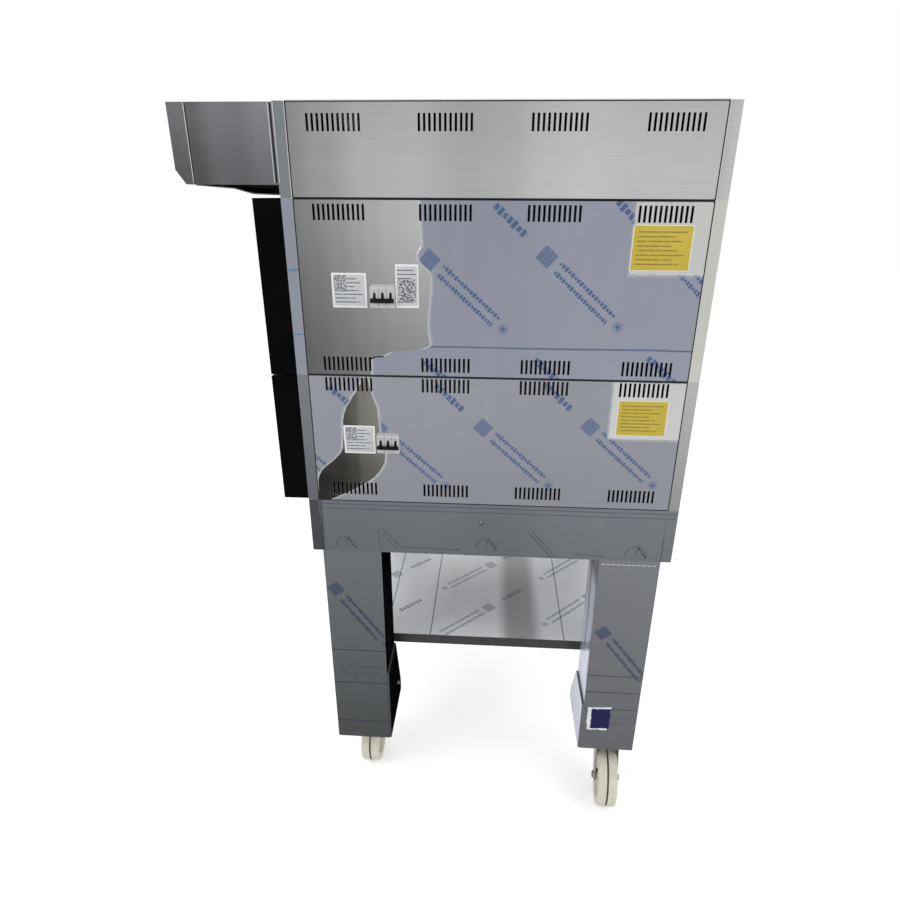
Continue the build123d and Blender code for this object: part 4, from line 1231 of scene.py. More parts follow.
@dataclass
class Studio:
    """The camera at the photograph's place, soft lamps, a white surround and a pale floor."""

    camera_at: Point = (1.8778, 0.0876, 1.6753)
    looking: Point = (-0.9240, -0.0539, -0.3786)
    roll: float = radians(0.318)
    lens: float = 24.863
    sensor: float = 36.0
    shift: float = -0.0058
    surround: float = 0.86
    floor_half: float = 14.0

    def build(self, effects: Effects) -> None:
        """Set up everything that isn't the object."""
        self.place_camera()
        self.surround_with_white()
        self.lay_floor(effects)
        self.hang_lamp("lamp_over_front", (2.2, -2.4, 3.3), (0.0, 0.0, 1.1), 2.2, 46.0)
        self.hang_lamp("lamp_over_rear", (1.8, 2.8, 3.0), (0.2, 0.2, 1.0), 2.0, 30.0)
        self.hang_lamp("lamp_behind", (-2.6, -0.4, 3.0), (0.0, 0.0, 1.2), 2.4, 26.0)
        bpy.context.scene.view_settings.view_transform = "Standard"

    def place_camera(self) -> None:
        """Stand the camera where the photograph was taken from."""
        data = bpy.data.cameras.new("camera")
        data.lens, data.sensor_width, data.shift_x, data.clip_end = self.lens, self.sensor, self.shift, 200.0
        forward = Vector(self.looking).normalized()
        right = forward.cross(Vector((0.0, 0.0, 1.0))).normalized()
        above = right.cross(forward)
        turn = Matrix((right, above, -forward)).transposed() @ Matrix.Rotation(self.roll, 3, "Z")
        camera = placed(bpy.data.objects.new("camera", data))
        camera.matrix_world = Matrix.Translation(self.camera_at) @ turn.to_4x4()
        bpy.context.scene.camera = camera

    def surround_with_white(self) -> None:
        """A world that the camera, gloss and glass see as white and that lights the object a little less."""
        world = bpy.data.worlds.new("surround")
        world.use_nodes = True
        graph = Graph(world.node_tree)
        back = world.node_tree.nodes["Background"]
        graph.feed(back.inputs["Color"], (1.0, 1.0, 1.0))
        graph.feed(back.inputs["Strength"], graph.spread(seen(graph), 0.0, 1.0, self.surround, 1.0))
        bpy.context.scene.world = world

    def lay_floor(self, effects: Effects) -> None:
        """A wide pale floor that keeps the object's shadow."""
        half = self.floor_half
        mesh = bpy.data.meshes.new("floor")
        mesh.from_pydata([(-half, -half, 0.0), (half, -half, 0.0), (half, half, 0.0), (-half, half, 0.0)], [],
                         [(0, 1, 2, 3)])
        mesh.materials.append(PaleFloor("pale_floor").material(effects))
        floor = placed(bpy.data.objects.new("floor", mesh))

    @staticmethod
    def hang_lamp(name: str, at: Point, towards: Point, size: float, power: float) -> None:
        """A large soft area lamp.

        Args:
            name: The lamp's name.
            at: Where it hangs.
            towards: The point that it faces.
            size: The side of its square.
            power: Its power in watts.
        """
        data = bpy.data.lights.new(name, "AREA")
        data.size, data.energy = size, power
        lamp = placed(bpy.data.objects.new(name, data))
        lamp.location = at
        lamp.rotation_euler = (Vector(towards) - Vector(at)).to_track_quat("-Z", "Y").to_euler()


# Pieces

def wear_finish(node: str, material: bpy.types.Material) -> None:
    """Give a frame node its finish in every material slot."""
    thing = frame["nodes"][node]
    if not thing.material_slots:
        thing.data.materials.append(material)
    for slot in thing.material_slots:
        slot.material = material


def joint(name: str) -> dict:
    """The record of one joint."""
    return next(entry for entry in frame["joints"] if entry["name"] == name)


@dataclass
class Caster:
    """One swivel caster: a pressed fork with its axle bolt, and a wheel of two halves."""

    corner: str
    radius: float = 0.080
    width: float = 0.054
    half_groove: float = 0.0022
    groove_depth: float = 0.009
    web: float = 0.034
    recess: float = 0.058
    hub: float = 0.017
    bore: float = 0.0062
    crown: float = 0.009
    fork_sheet: float = 0.004
    cheek_gap: float = 0.0025
    head_radius: float = 0.038
    fork_crown: float = 0.005
    eye: float = 0.017
    knee: float = 0.015
    axle_radius: float = 0.0058
    nut_across: float = 0.020
    nut_high: float = 0.0042

    @property
    def inner(self) -> float:
        """How far a cheek's inner face is from the wheel's middle."""
        return self.width / 2 + self.cheek_gap

    def build(self, finishes: "Finishes") -> None:
        """Make the wheel and the fork, and hide the frame's plainer ones."""
        hub, top = (np.array(joint(f"caster_{turn}_{self.corner}")["pos_m"]) for turn in ("roll", "swivel"))
        ahead = (hub - top) * np.array([1.0, 1.0, 0.0])
        trail = float(np.linalg.norm(ahead))
        ahead /= trail
        upward = np.array([0.0, 0.0, 1.0])
        sideways = np.cross(ahead, upward)
        rolling = np.stack([ahead, upward, sideways])
        wheel = self.wheel()
        tyre = wheel.turned(hub, rolling).piece(f"wheel_{self.corner}", finishes.nylon, "caster_nylon",
                                                f"caster_wheel_{self.corner}")
        # The wheel is made darker in its groove and a little in its recess.
        dark_share = tyre.data.attributes.new("grime", "FLOAT", "POINT")
        dark_share.data.foreach_set("value", self.grime(wheel.points).astype(np.float32))
        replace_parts(tyre, f"caster_wheel_{self.corner}")
        cheeks = [self.cheek(side, trail, hub[2] - top[2]).turned(top, rolling) for side in (-1.0, 1.0)]
        crown = self.crown_plate().turned(top, np.stack([ahead, -sideways, upward]))
        fork = Shell.of([crown, *cheeks, self.axle().turned(hub, rolling)])
        piece = fork.piece(f"fork_{self.corner}", finishes.zinc, "zinc_steel", f"caster_fork_{self.corner}")
        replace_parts(piece, f"caster_fork_{self.corner}")

    def wheel(self) -> Shell:
        """Both halves of the wheel as one turned ring about its own z; the shoulders are quarter ellipses."""
        half = self.width / 2
        upper = [
            (self.radius - 0.0012, self.half_groove),
            (self.radius - 0.0002, self.half_groove + 0.0014),
            *[(self.radius - self.crown * 0.55 * (1 - sin(a)), half - self.crown * (1 - cos(a)))
              for a in quarter_turn(7)[::-1]],
            (self.recess + 0.006, half),
            (self.recess + 0.0025, half - 0.0012),
            (self.recess, self.web / 2 + 0.002),
            (self.recess - 0.003, self.web / 2),
            (self.hub + 0.004, self.web / 2),
            (self.hub, self.web / 2 + 0.003),
            (self.hub, half - 0.001),
            (self.hub - 0.0012, half),
            (self.bore, half),
        ]
        lower = [(reach, -height) for reach, height in upper[::-1]]
        floor = [(self.radius - self.groove_depth, side * self.half_groove * 0.6) for side in (-1, 1)]
        return lathed(lower + floor + upper, 96, closed=True)

    def grime(self, points: np.ndarray) -> np.ndarray:
        """Darkening from 0 to 1 at each point of the wheel: full in the groove, and some in the recess."""
        reach = np.hypot(points[:, 0], points[:, 1])
        height = np.abs(points[:, 2])
        groove = np.clip((self.half_groove * 1.25 - height) / (self.half_groove * 0.4), 0.0, 1.0)
        groove *= np.clip((reach - self.radius + self.groove_depth + 0.004) / 0.002, 0.0, 1.0)
        recess = 0.25 * np.clip((self.recess - reach) / 0.004, 0.0, 1.0)
        return np.maximum(groove, recess)

    def crown_plate(self) -> Shell:
        """The fork's top plate, with round corners and eased rims."""
        return block(self.head_radius, self.inner + self.fork_sheet, 0.008,
                     eased_levels(self.fork_crown, 0.0012, 3, start=-self.fork_crown))

    def cheek(self, side: float, trail: float, drop: float) -> Shell:
        """One cheek of the fork: a raked plate with rounded corners, round about the axle.

        Args:
            side: Which side of the wheel, -1 or 1.
            trail: How far the axle is behind the swivel.
            drop: The axle's height below the crown, below zero.

        Returns:
            The cheek, with its own x ahead and y up.
        """
        eye = [(trail + self.eye * cos(a), drop + self.eye * sin(a)) for a in np.linspace(-pi * 0.75, pi * 0.12, 9)]
        outline = rounded_corners([(-self.head_radius, 0.0), (-self.head_radius, -self.knee), *eye,
                                   (self.head_radius, 0.0)], 0.002, 3)
        start = self.inner if side > 0 else -self.inner - self.fork_sheet
        return plate(outline, eased_levels(self.fork_sheet, 0.001, 3, start=start))

    def axle(self) -> Shell:
        """The axle rod between the cheeks, with a nut and washer at each end."""
        outer = self.inner + self.fork_sheet
        rod = lathed([(self.axle_radius, -outer), (self.axle_radius, outer)], 24)
        end = Shell.of([washer(0.0108, outer, 0.0012, 0.0013, 28),
                        nut(self.nut_across, self.nut_high, 0.2).turned((0.0, 0.0, outer + 0.0016))])
        return Shell.of([rod, end, end.turned((0, 0, 0), Facing.BELOW)])


@dataclass
class CasterPlates:
    """What is bolted above the forks: the race rings round each swivel head, bolts and their washers."""

    bolt_across: float = 0.013
    bolt_high: float = 0.0055
    bolt_x: float = 0.048
    bolt_y: float = 0.041
    ring_radius: float = 0.0395
    thick: float = 0.006

    def build(self, finishes: "Finishes") -> None:
        """Put the details on the four plates."""
        plate_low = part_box("caster_plates")[1][2] - self.thick
        parts = []
        for corner in CORNERS:
            x, y, _ = joint(f"caster_swivel_{corner}")["pos_m"]
            parts.append(self.ring().turned((x, y, plate_low), Facing.BELOW))
            for side_x in (-1.0, 1.0):
                for side_y in (-1.0, 1.0):
                    across, along = x + side_x * self.bolt_x, y + side_y * self.bolt_y
                    head = nut(self.bolt_across, self.bolt_high, 0.3 + side_x + 2 * side_y)
                    parts += [washer(0.0105, 0.0, 0.001, 0.001, 24).turned((across, along, plate_low), Facing.BELOW),
                              head.turned((across, along, plate_low - 0.0014), Facing.BELOW)]
        Shell.of(parts).piece("caster_plate_bolts", finishes.zinc, "zinc_steel")

    def ring(self) -> Shell:
        """The dished race ring: a shallow skirt whose rim is rolled in."""
        profile = ((-0.0035, 0.0), (0.0, 0.0015), (0.0012, 0.004), (0.0012, 0.008), (-0.0005, 0.0112), (-0.004, 0.0125))
        return lathed([(self.ring_radius + out, height) for out, height in profile], 56)


@dataclass
class HeatKnob:
    """A fluted control knob with a raised pointer, and the tick marks printed round it."""

    deck: str
    which: str
    skirt_radius: float = 0.0229
    skirt: float = 0.005
    grip_radius: float = 0.0168
    flute: float = 0.0007
    flutes: int = 14
    height: float = 0.022
    shaft_radius: float = 0.0029
    ticks: int = 11
    tick_from: float = radians(-60.0)
    tick_turn: float = radians(300.0)
    tick_reach: float = 0.0295

    def build(self, finishes: "Finishes") -> None:
        """Make the knob, the line on its pointer and its ticks."""
        name = f"{self.deck}_{self.which}_heat_knob"
        low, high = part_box(name)
        centre = (low + high) / 2
        face = joint(f"{name}_turn")["pos_m"][1]
        at = (centre[0], face - 0.0003, centre[2])
        knob = Shell.of([self.grip(), self.pointer(), self.shaft()]).turned(at, Facing.FRONT)
        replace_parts(knob.piece(f"{name}_moulded", finishes.knob, "black_plastic", name, 24.0), name)
        top = self.height + 0.0029
        line = block(0.0007, 0.0045, 0.0003, [(0.0, top), (0.0, top + 0.00012)])
        line.turned((at[0], at[1], at[2] + 0.007), Facing.FRONT).piece(
            f"{name}_pointer_line", finishes.legend, "black_plastic", name)
        self.scale().turned((at[0], face, at[2]), Facing.FRONT).piece(
            f"{name}_ticks", finishes.legend, "control_parts")

    def grip(self) -> Shell:
        """Skirt and grip in one: at each height a ring of radius r(h) - f cos^2(n a / 2), fluted above the skirt."""
        profile = ((self.skirt_radius - 0.0012, 0.0, 0), (self.skirt_radius, 0.001, 0),
                   (self.skirt_radius, 0.0035, 0), (self.skirt_radius - 0.0012, self.skirt, 0),
                   (self.grip_radius + 0.001, self.skirt + 0.0006, 0.3),
                   (self.grip_radius, self.skirt + 0.0022, 1),
                   (self.grip_radius - 0.0003, self.height - 0.0018, 1),
                   (self.grip_radius - 0.0014, self.height - 0.0003, 0.7),
                   (self.grip_radius - 0.003, self.height, 0.2))
        angle = full_turn(112)
        wave = np.cos(self.flutes * angle / 2) ** 2
        return stacked([((radius - self.flute * fluted * wave)[:, None] * round_of(angle), height)
                        for radius, height, fluted in profile])

    def pointer(self) -> Shell:
        """The raised bar across the grip's face."""
        return block(0.0025, 0.0138, 0.0016, [(0.0, self.height - 0.001), (0.0, self.height + 0.0018),
                                              (0.0011, self.height + 0.0029)])

    def shaft(self) -> Shell:
        """The steel shaft behind the skirt."""
        return lathed([(self.shaft_radius, -0.0142), (self.shaft_radius, 0.0005)], 20)

    def scale(self) -> Shell:
        """Tick marks at even angles, each a thin raised bar."""
        bar = block(0.0026, 0.0006, 0.0002, [(0.0, 0.00004), (0.0, 0.00018)])
        marks = []
        for angle in pi / 2 - (self.tick_from + self.tick_turn * np.arange(self.ticks) / (self.ticks - 1)) - pi:
            along, aside = (cos(angle), sin(angle), 0.0), (-sin(angle), cos(angle), 0.0)
            marks.append(bar.turned((self.tick_reach * cos(angle), self.tick_reach * sin(angle), 0.0),
                                    np.array([along, aside, (0.0, 0.0, 1.0)])))
        return Shell.of(marks)


@dataclass
class DoorDressing:
    """The door's bar handle, the window's frame and the gasket behind it."""

    deck: str
    bar_high: float = 0.0216
    bar_thick: float = 0.0118
    post_radius: float = 0.0058
    post_inset: float = 0.030
    gasket: float = 0.0012

    def build(self, finishes: "Finishes") -> None:
        """Make the pieces that ride on the door."""
        body = f"{self.deck}_door"
        low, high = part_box(f"{self.deck}_door_handle")
        z = (low[2] + high[2]) / 2
        y_bar = low[1] + self.bar_thick / 2 + 0.0001
        y_face = high[1]
        bar = self.bar(high[0] - low[0]).turned(((low[0] + high[0]) / 2, y_bar, z), np.eye(3)[[1, 2, 0]])
        posts = [self.post(y_face - y_bar).turned((x, y_face, z), Facing.FRONT)
                 for x in (low[0] + self.post_inset, high[0] - self.post_inset)]
        handle = Shell.of([bar, *posts])
        piece = handle.piece(f"{self.deck}_bar_handle", finishes.handle, "handle_steel", body, 40.0)
        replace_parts(piece, f"{self.deck}_door_handle")
        self.window_frame(finishes, body)
        self.seal(finishes, body)

    def bar(self, length: float) -> Shell:
        """The grip: a superellipse |x/a|^3 + |y/b|^3 = 1 carried along, drawn in to a round at both ends."""
        circle = round_of(full_turn(36))
        section = np.sign(circle) * np.abs(circle) ** (2 / 3) * np.array([self.bar_thick, self.bar_high]) / 2
        ends = [(1 - 0.35 * (1 - np.sin(a)), length / 2 - 0.004 * (1 - np.cos(a))) for a in quarter_turn(6)[::-1]]
        rows = [(share, -place) for share, place in ends[::-1]] + ends
        return stacked([(section * share, place) for share, place in rows])

    def post(self, reach: float) -> Shell:
        """A round standoff, flared where it meets the door: radius r + f (1 - h / k)^2 near its foot."""
        flare = [(self.post_radius + 0.0001 * (1 - h / 0.010) ** 2, h) for h in np.linspace(0.0, 0.010, 6)]
        return lathed([*flare, (self.post_radius, reach)], 28)

    def window_frame(self, finishes: "Finishes", body: str) -> None:
        """A thin pressed frame that lies on the outer pane's rim."""
        low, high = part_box(f"{self.deck}_door_glass")
        half_wide, half_high = (high[0] - low[0]) / 2, (high[2] - low[2]) / 2
        profile = ((-0.0006, 0.00005), (0.0004, 0.0011), (0.0075, 0.0013), (0.0115, 0.0008), (0.0118, 0.00005))
        ring = stacked([(rounded_outline(half_wide - inset, half_high - inset, max(0.012 - inset, 0.004), 7), out)
                        for inset, out in profile], closed=True)
        ring.turned(((low[0] + high[0]) / 2, low[1], (low[2] + high[2]) / 2), Facing.FRONT).piece(
            f"{self.deck}_window_frame", finishes.enamel, "black_front", body)

    def seal(self, finishes: "Finishes", body: str) -> None:
        """The rope gasket on the door's inner face: a round section carried round a rounded rectangle."""
        low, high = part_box(f"{self.deck}_door")
        chamber_low, chamber_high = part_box(f"{self.deck}_chamber")
        half_wide = (chamber_high[0] - chamber_low[0]) / 2 + 0.006
        path = rounded_outline(half_wide, (high[2] - low[2]) / 2 - 0.026, 0.03, 10)
        outward = path - drawn_in(path, 0.001)
        outward /= np.linalg.norm(outward, axis=1, keepdims=True)
        angle = full_turn(10)
        ring = path[:, None, :] + self.gasket * np.cos(angle)[None, :, None] * outward[:, None, :]
        out = np.repeat((self.gasket * 0.62 * (1 + np.sin(angle)))[None, :], len(path), axis=0)
        rope = woven(np.concatenate([ring, out[:, :, None]], axis=2), closed=True)
        rope.turned(((low[0] + high[0]) / 2, high[1], (low[2] + high[2]) / 2),
                    np.array([(1, 0, 0), (0, 0, 1), (0, 1, 0)])).piece(
            f"{self.deck}_door_gasket", finishes.gasket, "black_plastic", body)


@dataclass
class ControlColumn:
    """The pilot lamps' lenses on the right of each deck's front."""

    deck: str
    control_x: float = 0.413
    half_spacing: float = 0.010
    half_wide: float = 0.0062
    half_high: float = 0.0042
    out: float = 0.0034
    above_knob: float = 0.035

    def build(self, finishes: "Finishes") -> None:
        """Make both lenses."""
        _, y_front, z_knob = joint(f"{self.deck}_bottom_heat_knob_turn")["pos_m"]
        lens = block(self.half_wide, self.half_high, 0.0016, eased_levels(self.out, 0.0012, 4, False))
        for side, name, finish in ((-1, "power", finishes.lens_green), (1, "heat", finishes.lens_amber)):
            at = (self.control_x + side * self.half_spacing, y_front - 0.0001, z_knob + self.above_knob)
            lens.turned(at, Facing.FRONT).piece(f"{self.deck}_{name}_lens", finish, "control_parts")


@dataclass
class ChamberFittings:
    """The chamber's heating rods, its lamp and its temperature probe."""

    deck: str
    rod_radius: float = 0.0044
    rod_inset: float = 0.0045
    collar_radius: float = 0.0078
    collar: float = 0.006
    columns: int = 3
    lamp_from_rear: float = 0.120
    probe_from_wall: float = 0.090
    probe_radius: float = 0.0029
    probe_long: float = 0.096

    def build(self, finishes: "Finishes") -> None:
        """Make the pieces that are seen with the door down."""
        node = f"{self.deck}_heating_elements"
        low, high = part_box(node)
        rods = Shell.of([self.rod(high[1] - low[1]).turned((x, high[1], z), Facing.FRONT)
                         for z in (low[2] + self.rod_inset, high[2] - self.rod_inset)
                         for x in np.linspace(low[0] + self.rod_inset, high[0] - self.rod_inset, self.columns)])
        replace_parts(rods.piece(f"{self.deck}_heating_rods", finishes.element, "element_metal"), node)
        self.lamp(finishes, high[1])

    def rod(self, length: float) -> Shell:
        """One rod: a ceramic-like collar at the wall, a straight run and a quarter round end."""
        return lathed([(self.collar_radius, 0.0), (self.collar_radius, self.collar - 0.001),
                       (self.collar_radius - 0.001, self.collar), (self.rod_radius, self.collar + 0.0002),
                       *round_end(self.rod_radius, length, 6)], 24)

    def lamp(self, finishes: "Finishes", rear: float) -> None:
        """The lamp's ribbed lens in its bezel on the right wall, and the probe in its nut on the rear wall."""
        node = f"{self.deck}_lamp_and_probe"
        low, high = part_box(node)
        z = (low[2] + high[2]) / 2
        at_lamp, at_probe = (high[0], rear - self.lamp_from_rear, z), (high[0] - self.probe_from_wall, rear, z)
        lens = block(0.0325, 0.0175, 0.006, [(0.0, 0.0), (0.0, 0.009), (0.0012, 0.0118), (0.004, 0.0136)])
        glass = lens.turned(at_lamp, Facing.LEFT).piece(f"{self.deck}_lamp_lens", finishes.lamp_glass, "lamp_glass")
        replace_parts(glass, node)
        profile = ((0.0, 0.0), (0.0004, 0.0034), (0.0012, 0.004), (0.0022, 0.0034), (0.0022, 0.0))
        bezel = stacked([(rounded_outline(0.035 - inset, 0.020 - inset, 0.008 - inset, 8), out)
                         for inset, out in profile], closed=True)
        stem = lathed([(self.probe_radius, 0.0058), *round_end(self.probe_radius, self.probe_long, 5)], 20)
        fittings = [bezel.turned(at_lamp, Facing.LEFT), nut(0.016, 0.006).turned(at_probe, Facing.FRONT),
                    stem.turned(at_probe, Facing.FRONT)]
        Shell.of(fittings).piece(f"{self.deck}_lamp_bezel_and_probe", finishes.fitting_steel, "chamber_steel")


@dataclass
class BreakerNose:
    """The linked levers of the three pole breaker, and the seams and blank strips on its nose."""

    deck: str
    reach: float = 0.015
    wide: float = 0.0053
    thick: float = 0.0039
    hub: float = 0.0039
    pitch: float = 0.0176
    down: float = radians(25.0)
    tie_high: float = 0.0090
    tie_past: float = 0.0052
    tie_deep: float = 0.0049
    nose_high: float = 0.045
    seam_half: float = 0.0246
    seam_off: float = 0.0135
    marker_off: float = 0.0178

    def build(self, finishes: "Finishes") -> None:
        """Make the levers, which replace the plain ones, and the nose's details."""
        throw = joint(f"{self.deck}_breaker_toggle_throw")["pos_m"]
        turned = np.array([(cos(self.down), 0.0, -sin(self.down)), (sin(self.down), 0.0, cos(self.down)),
                           (0.0, -1.0, 0.0)])
        name = f"{self.deck}_breaker_toggle"
        levers = self.levers().turned(throw, turned)
        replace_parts(levers.piece(f"{self.deck}_breaker_levers", finishes.lever, "black_plastic", name), name)
        _, y, z = throw
        seams = [self.strip(0.0002, self.nose_high / 2 - 0.0004, y + side * self.pitch / 2, z) for side in (-1, 1)]
        seams += [self.strip(self.seam_half, 0.00018, y, z + side * self.seam_off) for side in (-1, 1)]
        Shell.of(seams).piece(f"{self.deck}_breaker_seams", finishes.seam, "black_plastic")
        strips = [self.strip(0.0056, 0.0017, y + pole * self.pitch, z + self.marker_off) for pole in (-1, 0, 1)]
        Shell.of(strips).piece(f"{self.deck}_breaker_markers", finishes.marker, "breaker_plastic")

    def levers(self) -> Shell:
        """Three levers with their hubs and roots, and the bar that ties them, reaching along x from the throw."""
        lever = block((self.reach + self.hub) / 2, self.thick / 2, 0.0012,
                      eased_levels(self.wide, 0.0007, 3, start=-self.wide / 2))
        hub = lathed([(self.hub, -self.wide / 2), (self.hub, self.wide / 2)], 28)
        root = block(self.tie_deep / 2, self.tie_high / 2 - 0.0003, 0.0011,
                     eased_levels(2 * self.wide, 0.0025, 4, start=-self.wide))
        parts = []
        for pole in (-1, 0, 1):
            for part, along in ((lever, (self.reach - self.hub) / 2), (hub, 0.0), (root, self.reach - 0.0022)):
                parts.append(part.turned((along, 0.0, pole * self.pitch)))
        tie_long = 2 * self.pitch + self.wide + 2 * self.tie_past
        tie = block(self.tie_deep / 2, self.tie_high / 2, 0.0011,
                    eased_levels(tie_long, 0.0009, 3, start=-tie_long / 2))
        return Shell.of([*parts, tie.turned((self.reach, 0.0, 0.0))])

    def strip(self, half_wide: float, half_high: float, y: float, z: float) -> Shell:
        """A thin raised strip on the nose's face."""
        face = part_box(f"{self.deck}_breaker")[1][0]
        return leaf(half_wide, half_high, min(half_wide, half_high) / 2, 0.00018).turned((face, y, z), Facing.RIGHT)


class SheetKind(Enum):
    """What is stuck on the side: bare stickers of three sorts and the film's blue fold lines."""

    YELLOW = "label_yellow"
    LONG = "label_long"
    TALL = "label_tall"
    LINE = "film_line"


@dataclass
class SideSheet:
    """A thin sticker or stripe on the right side."""

    name: str
    kind: SheetKind
    near: float
    far: float
    low: float
    high: float
    thick: float = 0.00018

    def build(self, finishes: "Finishes") -> None:
        """Make it as a thin slab with small round corners, and note each point's share of its size."""
        size = np.array([self.far - self.near, self.high - self.low])
        slab = block(*(size / 2), 0.0012, eased_levels(self.thick, 0.00006, 3, False, LIFT))
        share = np.concatenate([slab.points[:, :2] / size + 0.5, np.zeros((len(slab.points), 1))], axis=1)
        middle = (SIDE_FACE, (self.near + self.far) / 2, (self.low + self.high) / 2)
        thing = slab.turned(middle, Facing.RIGHT).piece(
            f"sticker_{self.name}", getattr(finishes, self.kind.value), "filmed_stainless")
        sheet = thing.data.attributes.new("sheet", "FLOAT_VECTOR", "POINT")
        sheet.data.foreach_set("vector", share.astype(np.float32).ravel())


@dataclass
class PanelSeams:
    """Painted shadow lines over the joints round the side panels, and painted highlight lines on the folded edges of
    the sheets beside them.
    """

    dark: float = 0.0012
    bright: float = 0.0006
    between: float = 0.0008
    beside: float = 0.0030
    thick: float = 0.00014
    canopy_low: float = 1.697
    canopy_high: float = 1.842
    highlight_depths: Sequence[float] = (-0.5316, -0.3625, -0.3528)
    shadow_line_depths: Sequence[Flat] = ((-0.5288, 0.0010), (-0.3580, 0.0020))

    def build(self, finishes: "Finishes") -> None:
        """Draw the shadow and highlight lines on both sides, and shadow lines on the joints at the rear edge of the
        right side.
        """
        middle_z = (self.canopy_low + self.canopy_high) / 2
        half_high = (self.canopy_high - self.canopy_low) / 2
        for facing, side in ((Facing.RIGHT, "right"), (Facing.LEFT, "left")):
            x = SIDE_FACE * facing.value[2][0]
            dark, bright = [], []
            for panel in ("hood_side", "upper_side", "lower_side"):
                low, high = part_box(f"{panel}_{side}")
                middle = (x, (low[1] + high[1]) / 2, (low[2] + high[2]) / 2)
                half = ((high[1] - low[1]) / 2, (high[2] - low[2]) / 2)
                dark.append(self.ring(*half, self.between, self.dark).turned(middle, facing))
                if panel == "hood_side":
                    bright.append(self.ring(*half, self.beside, self.bright).turned(middle, facing))
            for shade, places in ((bright, [(depth, self.bright) for depth in self.highlight_depths]),
                                  (dark, self.shadow_line_depths)):
                shade += [leaf(half_wide, half_high, half_wide / 2, self.thick).turned((x, depth, middle_z), facing)
                          for depth, half_wide in places]
            if side == "right":
                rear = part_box("hood_casing")[1][1]
                strip = leaf(x - self.dark, self.dark, self.dark / 2, self.thick)
                dark += [strip.turned((0.0, rear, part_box(node)[0][2]), Facing.REAR)
                         for node in ("hood_casing", "upper_carcass", "lower_carcass")]
            # The dark lines are painted shadow in the joints' gaps; the bright ones are painted highlights on folded
            # edges.
            Shell.of(dark).piece(f"panel_joint_shadows_{side}", finishes.seam, "brushed_stainless")
            Shell.of(bright).piece(f"folded_edge_highlight_lines_{side}", finishes.edge, "brushed_stainless")

    def ring(self, half_wide: float, half_high: float, out: float, half: float) -> Shell:
        """A flat frame: its section, a thin rectangle, carried round a rectangle.

        Args:
            half_wide: Half the rectangle's width.
            half_high: Half its height.
            out: How far the frame's middle lies outside it.
            half: Half the frame's breadth.

        Returns:
            The frame.
        """
        section = ((out + half, LIFT), (out + half, self.thick), (out - half, self.thick), (out - half, LIFT))
        return stacked([(rounded_outline(half_wide + grown, half_high + grown, 0.002, 3), level)
                        for grown, level in section], closed=True)


@dataclass
class TornScraps:
    """What is left of the film and tape, a navy scrap on the rear leg and its bare surround, and a painted shadow under
    the peeled film's edge.
    """

    scrap: Sequence[Flat] = ((0.3946, 0.2814), (0.4474, 0.2831), (0.4472, 0.3549), (0.3952, 0.3516))
    patch: Sequence[Flat] = ((0.3850, 0.2765), (0.4417, 0.2765), (0.4490, 0.3600), (0.3830, 0.3570))
    peeled_edge_shadow: Sequence[Flat] = ((-0.1815, 1.3345), (-0.1680, 1.3395), (-0.1515, 1.3400), (-0.1515, 1.3425),
                              (-0.1690, 1.3425), (-0.1815, 1.3385))
    bolt_at: Point = (0.393, -0.1717, 0.288)
    rivet_at: Point = (SIDE_FACE, 0.0734, 0.9311)

    def build(self, finishes: "Finishes") -> None:
        """Make the three pieces and the stand's small fasteners."""
        self.torn(self.scrap, 0.00025, 0.0014, 3).piece("leg_film_scrap", finishes.scrap, "filmed_stainless")
        self.torn(self.patch, 0.00012, 0.0014, 5).piece("leg_bare_patch", finishes.pale_patch, "filmed_stainless")
        # A painted shadow: a thin dark piece where the peeled film's edge shades the steel.
        self.torn(self.peeled_edge_shadow, 0.00012, 0.0003, 7).piece("film_edge_shadow", finishes.seam, "filmed_stainless")
        fasteners = [nut(0.012, 0.0045).turned(self.bolt_at, Facing.LEFT),
                     dome(0.0028, 0.0011).turned(self.rivet_at, Facing.RIGHT)]
        Shell.of(fasteners).piece("stand_fasteners", finishes.zinc, "zinc_steel")

    @staticmethod
    def torn(corners: Sequence[Flat], thick: float, wander: float, seed: int) -> Shell:
        """A thin torn piece: a polygon whose edge wanders by noise.

        Args:
            corners: Depth and height of the polygon's corners, counter-clockwise.
            thick: Its thickness.
            wander: The most that a point of the edge moves.
            seed: The seed of the noise.

        Returns:
            The piece on the right side's face.
        """
        corner = np.asarray(corners, float)
        share = np.linspace(0.0, 1.0, 13)[:-1, None]
        outline = np.concatenate([(1 - share) * start + share * end
                                  for start, end in zip(corner, np.roll(corner, -1, axis=0))])
        outline = outline + np.random.default_rng(seed).uniform(-wander, wander, outline.shape)
        return stacked([(outline, LIFT), (outline, thick)]).turned((SIDE_FACE, 0.0, 0.0), Facing.RIGHT)


